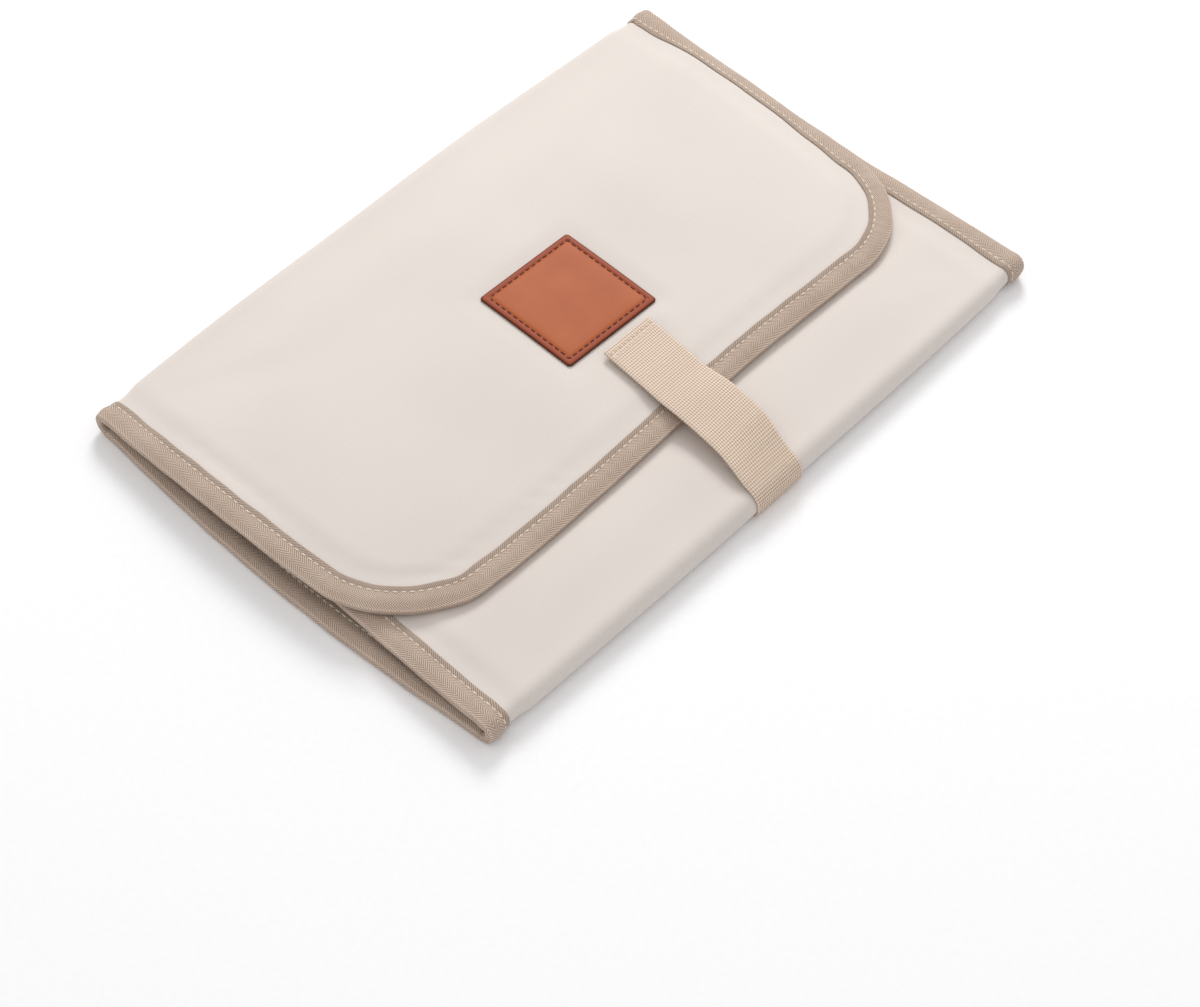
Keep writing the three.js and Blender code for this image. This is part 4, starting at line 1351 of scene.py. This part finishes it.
# %% Hem at the strap's tip
def line_across(y, z, half):
    x = np.linspace(-half, half, 12) + float(strap_middle(y))
    return np.stack([x, np.full(12, y), np.full(12, z)], 1), np.tile([0.0, 0.0, 1.0], (12, 1))


pieces["strap_stitches"] = sew(
    "strap_stitches",
    [line_across(STRAP_TIP - 3.2, STACK + 1.3, 14.5), line_across(STRAP_TIP - 6.0, STACK + 1.15, 14.5)],
    CREAM_THREAD, 3.0, 2.3, 0.6)
print("hem sewn with two rows")

# %% [markdown]
# ## Leather label
# A square of tan leather, bevelled all round and sewn on through a groove. It is built from rings,
# each a rounded square a little further in, because the edge needs many rings and the flat middle
# needs few. It lies on the flap, so it bends with the flap's top.
# %% Rounded square rings
def rounded_square(half, radius, count=14):
    pts = []
    for k in range(4):
        a0 = k * np.pi / 2
        cx = (half - radius) * (1 if k in (0, 3) else -1)
        cy = (half - radius) * (1 if k in (0, 1) else -1)
        for a in np.linspace(a0, a0 + np.pi / 2, 7):
            pts.append((cx + radius * np.cos(a), cy + radius * np.sin(a)))
        nx_k = (k + 1) % 4
        end = pts[-1]
        cx2 = (half - radius) * (1 if nx_k in (0, 3) else -1)
        cy2 = (half - radius) * (1 if nx_k in (0, 1) else -1)
        a1 = nx_k * np.pi / 2
        start = (cx2 + radius * np.cos(a1), cy2 + radius * np.sin(a1))
        for f in np.linspace(0, 1, count)[1:-1]:
            pts.append((end[0] + (start[0] - end[0]) * f, end[1] + (start[1] - end[1]) * f))
    return np.array(pts)


def label_point(xy, z):
    c, s = math.cos(LABEL_TURN), math.sin(LABEL_TURN)
    x = LABEL_AT[0] + xy[:, 0] * c - xy[:, 1] * s
    y = LABEL_AT[1] + xy[:, 0] * s + xy[:, 1] * c
    return np.stack([x, y, flap_top(x, y) + z], 1)


LABEL_EDGE = [(12.0, 0.02), (1.0, 0.02), (0.35, 0.05), (0.04, 0.35), (0.0, 0.8), (0.10, 1.2), (0.45, 1.5),
              (1.1, 1.66), (1.9, 1.72), (2.6, 1.70), (3.1, 1.58), (3.6, 1.42), (4.1, 1.58), (4.8, 1.80),
              (6.0, 1.90), (10.0, 1.90), (16.0, 1.89), (23.0, 1.9)]
rings = []
for inset, z in LABEL_EDGE:
    ring = rounded_square(LABEL_SIZE / 2 - inset, max(1.9 - inset * 0.4, 0.5))
    rings.append(label_point(ring, z + 0.1))
verts = np.concatenate(rings)
count = len(rings[0])
faces = []
for r in range(len(rings) - 1):
    for i in range(count):
        j = (i + 1) % count
        faces.append([r * count + i, r * count + j, (r + 1) * count + j, (r + 1) * count + i])
centre_low = label_point(np.zeros((1, 2)), 0.12)
centre_high = label_point(np.zeros((1, 2)), 2.0)
verts = np.concatenate([verts, centre_low, centre_high])
for i in range(count):
    j = (i + 1) % count
    faces.append([j, i, len(verts) - 2])
    faces.append([(len(rings) - 1) * count + i, (len(rings) - 1) * count + j, len(verts) - 1])
label = new_object("leather_label_plate", verts, faces, None, LEATHER)
burn = np.zeros(len(verts), np.float32)
rim = np.zeros(len(verts), np.float32)
for r, (inset, z) in enumerate(LABEL_EDGE):
    burn[r * count:(r + 1) * count] = float(1 - smooth((inset - 0.3) / 0.9)) if r > 1 else 1.0
    border = float(smooth((inset - 0.5) / 0.8) * (1 - smooth((inset - 2.9) / 1.6)))
    rim[r * count:(r + 1) * count] = border if r > 1 else 0
label.data.attributes.new("burnish", "FLOAT", "POINT").data.foreach_set("value", burn)
label.data.attributes.new("border", "FLOAT", "POINT").data.foreach_set("value", rim)
pieces["leather_label_plate"] = label
print("label", triangles(label), "triangles")

# %% Sew the label on
ring = rounded_square(LABEL_SIZE / 2 - 3.6, 0.6)
ring = np.concatenate([ring, ring[:1]])
line = label_point(ring, 1.42 + 0.1 + 0.14)
pieces["label_stitches"] = sew("label_stitches", [(line, np.tile([0.0, 0.0, 1.0], (len(line), 1)))],
                               BROWN_THREAD, 4.1, 3.0, 0.9)
print("label sewn on,", len(ring) - 1, "points round")


# %% [markdown]
# ## Hook and loop fastening
# A square of loop tape on the flap and one of hook tape under the strap's tip. Both are thin felted
# squares with a softened rim.
# %% Fastening squares
def patch(name, node, z):
    a, b = low(node), high(node)
    a[2], b[2] = z, z + PATCH_T
    half = (b - a) / 2
    mid = (a + b) / 2
    ring_in = [(0.25, 0.0), (0.0, 0.25), (0.0, 0.65), (0.3, 0.88), (1.0, 0.92), (6.0, 0.92)]
    rings = []
    for inset, z in ring_in:
        pts = rounded_square(1.0, 0.12)
        rings.append(np.stack([mid[0] + pts[:, 0] * (half[0] - inset), mid[1] + pts[:, 1] * (half[1] - inset),
                               np.full(len(pts), a[2] + z * (b[2] - a[2]))], 1))
    n = len(rings[0])
    verts = np.concatenate(rings + [[[mid[0], mid[1], a[2]]], [[mid[0], mid[1], b[2]]]])
    faces = []
    for r in range(len(rings) - 1):
        for i in range(n):
            j = (i + 1) % n
            faces.append([r * n + i, r * n + j, (r + 1) * n + j, (r + 1) * n + i])
    for i in range(n):
        j = (i + 1) % n
        faces.append([j, i, len(verts) - 2])
        faces.append([(len(rings) - 1) * n + i, (len(rings) - 1) * n + j, len(verts) - 1])
    return new_object(name, verts, faces, None, FASTENER)


pieces["loop_square"] = patch("loop_square", "loop_patch", LOOP_Z)
pieces["hook_square"] = patch("hook_square", "hook_patch", HOOK_Z)
print("fastening squares", triangles(pieces["loop_square"]), "triangles each")

# %% [markdown]
# ## Attach
# Each piece that lies on one body is attached to that body, and the frame's parts that the cloth
# stands for are hidden. Cloth that crosses a joint is left where it lies, on no body.
# %% What each piece stands for and moves with
LOWER = {1: ((0, 0.1301, 0.0006), (0, 0.1315, 0.0022)), -1: ((0, -0.1301, 0.0006), (0, -0.1315, 0.0022))}
UPPER = {1: ((0, 0.1315, 0.0118), (0, 0.1301, 0.0134)), -1: ((0, -0.1315, 0.0118), (0, -0.1301, 0.0134))}
PEEL = ((0, -0.1262, 0.0165), (0, -0.1205, 0.0180))


def bend(name, a, b, span):
    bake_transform(pieces[name])


for name in ("flap_cover_cloth", "flap_binding_tape", "flap_stitches"):
    bend(name, "back_roll", "flap", UPPER[1])
for name in ("front_cover_cloth", "front_binding_tape", "front_stitches", "strap_round_fold"):
    bend(name, "front_roll", "front_panel", UPPER[-1])
for name in ("back_fold_foot_cloth", "back_foot_tape_left", "back_foot_tape_right"):
    bend(name, "base", "back_roll", LOWER[1])
for name in ("front_fold_foot_cloth", "front_foot_tape_left", "front_foot_tape_right", "strap_foot"):
    bend(name, "base", "front_roll", LOWER[-1])
bend("strap_free_top", "front_panel", "strap", PEEL)
RIDES = {
    "base": ["base_cover_cloth", "base_lining_cloth", "base_foam_pad", "base_binding_tape_left",
             "base_binding_tape_right", "base_stitches_left", "base_stitches_right", "strap_sewn_end"],
    "back_roll": ["back_fold_inner_cloth"],
    "front_roll": ["front_fold_inner_cloth"],
    "flap": ["flap_lining_cloth", "flap_foam_pad", "leather_label_plate", "label_stitches", "loop_square"],
    "front_panel": ["front_lining_cloth", "front_foam_pad"],
    "strap": ["hook_square", "strap_stitches"],
}
for body, names in RIDES.items():
    for name in names:
        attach(pieces[name], body)
STANDS_FOR = {
    "flap_cover_cloth": ["flap_cover", "back_fold_cover"],
    "front_cover_cloth": ["front_cover", "front_fold_cover"], "base_cover_cloth": ["base_cover"],
    "base_lining_cloth": ["base_lining"], "flap_lining_cloth": ["flap_lining"],
    "front_lining_cloth": ["front_lining"], "back_fold_inner_cloth": ["back_fold_lining"],
    "front_fold_inner_cloth": ["front_fold_lining"], "base_foam_pad": ["base_foam"],
    "flap_foam_pad": ["flap_foam"], "front_foam_pad": ["front_foam"],
    "flap_binding_tape": ["flap_binding", "back_fold_binding_left", "back_fold_binding_right"],
    "front_binding_tape": ["front_binding", "front_fold_binding_left", "front_fold_binding_right"],
    "base_binding_tape_left": ["base_binding_left"], "base_binding_tape_right": ["base_binding_right"],
    "strap_sewn_end": ["strap_anchor"], "strap_round_fold": ["strap_wrap"],
    "strap_free_top": ["strap_top"], "leather_label_plate": ["leather_label"],
    "loop_square": ["loop_patch"], "hook_square": ["hook_patch"],
}
for name, nodes in STANDS_FOR.items():
    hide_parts(*nodes)
print(len(pieces), "pieces attached")

# %% The cloth and the pads are made
print("the cloth and the pads are made")

# %% [markdown]
# ## Floor, light and camera
# A plain white sweep, a very soft light from behind and above, and a bright even surrounding, so
# that the shadows stay faint and fall towards the front.
# %% Floor
bpy.ops.mesh.primitive_plane_add(size=24, location=(0, 0, -0.0004))
floor = bpy.context.object
floor.name = "studio_floor"
m, tree, shader = new_material("white paper sweep", Roughness=0.9)
where = add_node(tree, "ShaderNodeTexCoord").outputs["Object"]
tooth = add_node(tree, "ShaderNodeTexNoise", inputs={"Vector": where, "Scale": 300.0})
white = add_node(tree, "ShaderNodeValToRGB", {"stops": [(0.3, "#fafafb"), (0.7, "#fcfcfd")]},
                 {"Fac": tooth.outputs["Fac"]})
tree.links.new(white.outputs["Color"], shader.inputs["Base Color"])
floor.data.materials.append(m)
print("floor of", m.name)

# %% Light
world = bpy.data.worlds.new("studio")
bpy.context.scene.world = world
world.use_nodes = True
sky = world.node_tree
where = add_node(sky, "ShaderNodeTexCoord").outputs["Generated"]
upward = add_node(sky, "ShaderNodeSeparateXYZ", inputs={"Vector": where}).outputs["Z"]
stops = [(0.0, (0.34, 0.34, 0.345, 1)), (1.0, (1.0, 0.995, 0.99, 1))]
glow = add_node(sky, "ShaderNodeValToRGB", {"stops": stops}, {"Fac": upward})
sky.links.new(glow.outputs["Color"], sky.nodes["Background"].inputs["Color"])
sky.nodes["Background"].inputs["Strength"].default_value = 0.985


def soft_light(name, place, size, power, aim=(0, 0, 0)):
    data = bpy.data.lights.new(name, "AREA")
    data.shape, data.size, data.energy = "SQUARE", size, power
    obj = bpy.data.objects.new(name, data)
    bpy.context.scene.collection.objects.link(obj)
    obj.location = place
    obj.rotation_euler = (Vector(aim) - Vector(place)).to_track_quat("-Z", "Y").to_euler()
    return obj


key = soft_light("key behind and above", (1.5, 1.25, 1.62), 0.9, 33)
print("lit by", key.name, "and", world.name)

# %% Camera
AZIMUTH, ELEVATION, ROLL = math.radians(51.02), math.radians(52.84), math.radians(4.16)
AIM, DISTANCE = Vector((-0.06196, -0.07474, 0.0)), 1.41302
forward = Vector((math.sin(AZIMUTH) * math.cos(ELEVATION), math.cos(AZIMUTH) * math.cos(ELEVATION),
                  -math.sin(ELEVATION)))
right = Vector((math.cos(AZIMUTH), -math.sin(AZIMUTH), 0))
above = right.cross(forward)
tilted_right = math.cos(ROLL) * right + math.sin(ROLL) * above
tilted_up = -math.sin(ROLL) * right + math.cos(ROLL) * above
lens = bpy.data.cameras.new("camera")
lens.lens, lens.sensor_width, lens.clip_start = 87.466, 36.0, 0.05
camera = bpy.data.objects.new("camera", lens)
bpy.context.scene.collection.objects.link(camera)
axes = [tilted_right, tilted_up, -forward]
place = AIM - forward * DISTANCE
rows = [[axes[0][i], axes[1][i], axes[2][i], place[i]] for i in range(3)]
camera.matrix_world = Matrix(rows + [[0, 0, 0, 1]])
bpy.context.scene.camera = camera
bpy.context.scene.view_settings.view_transform = "Standard"
print("camera", round(DISTANCE, 2), "m from the mat")
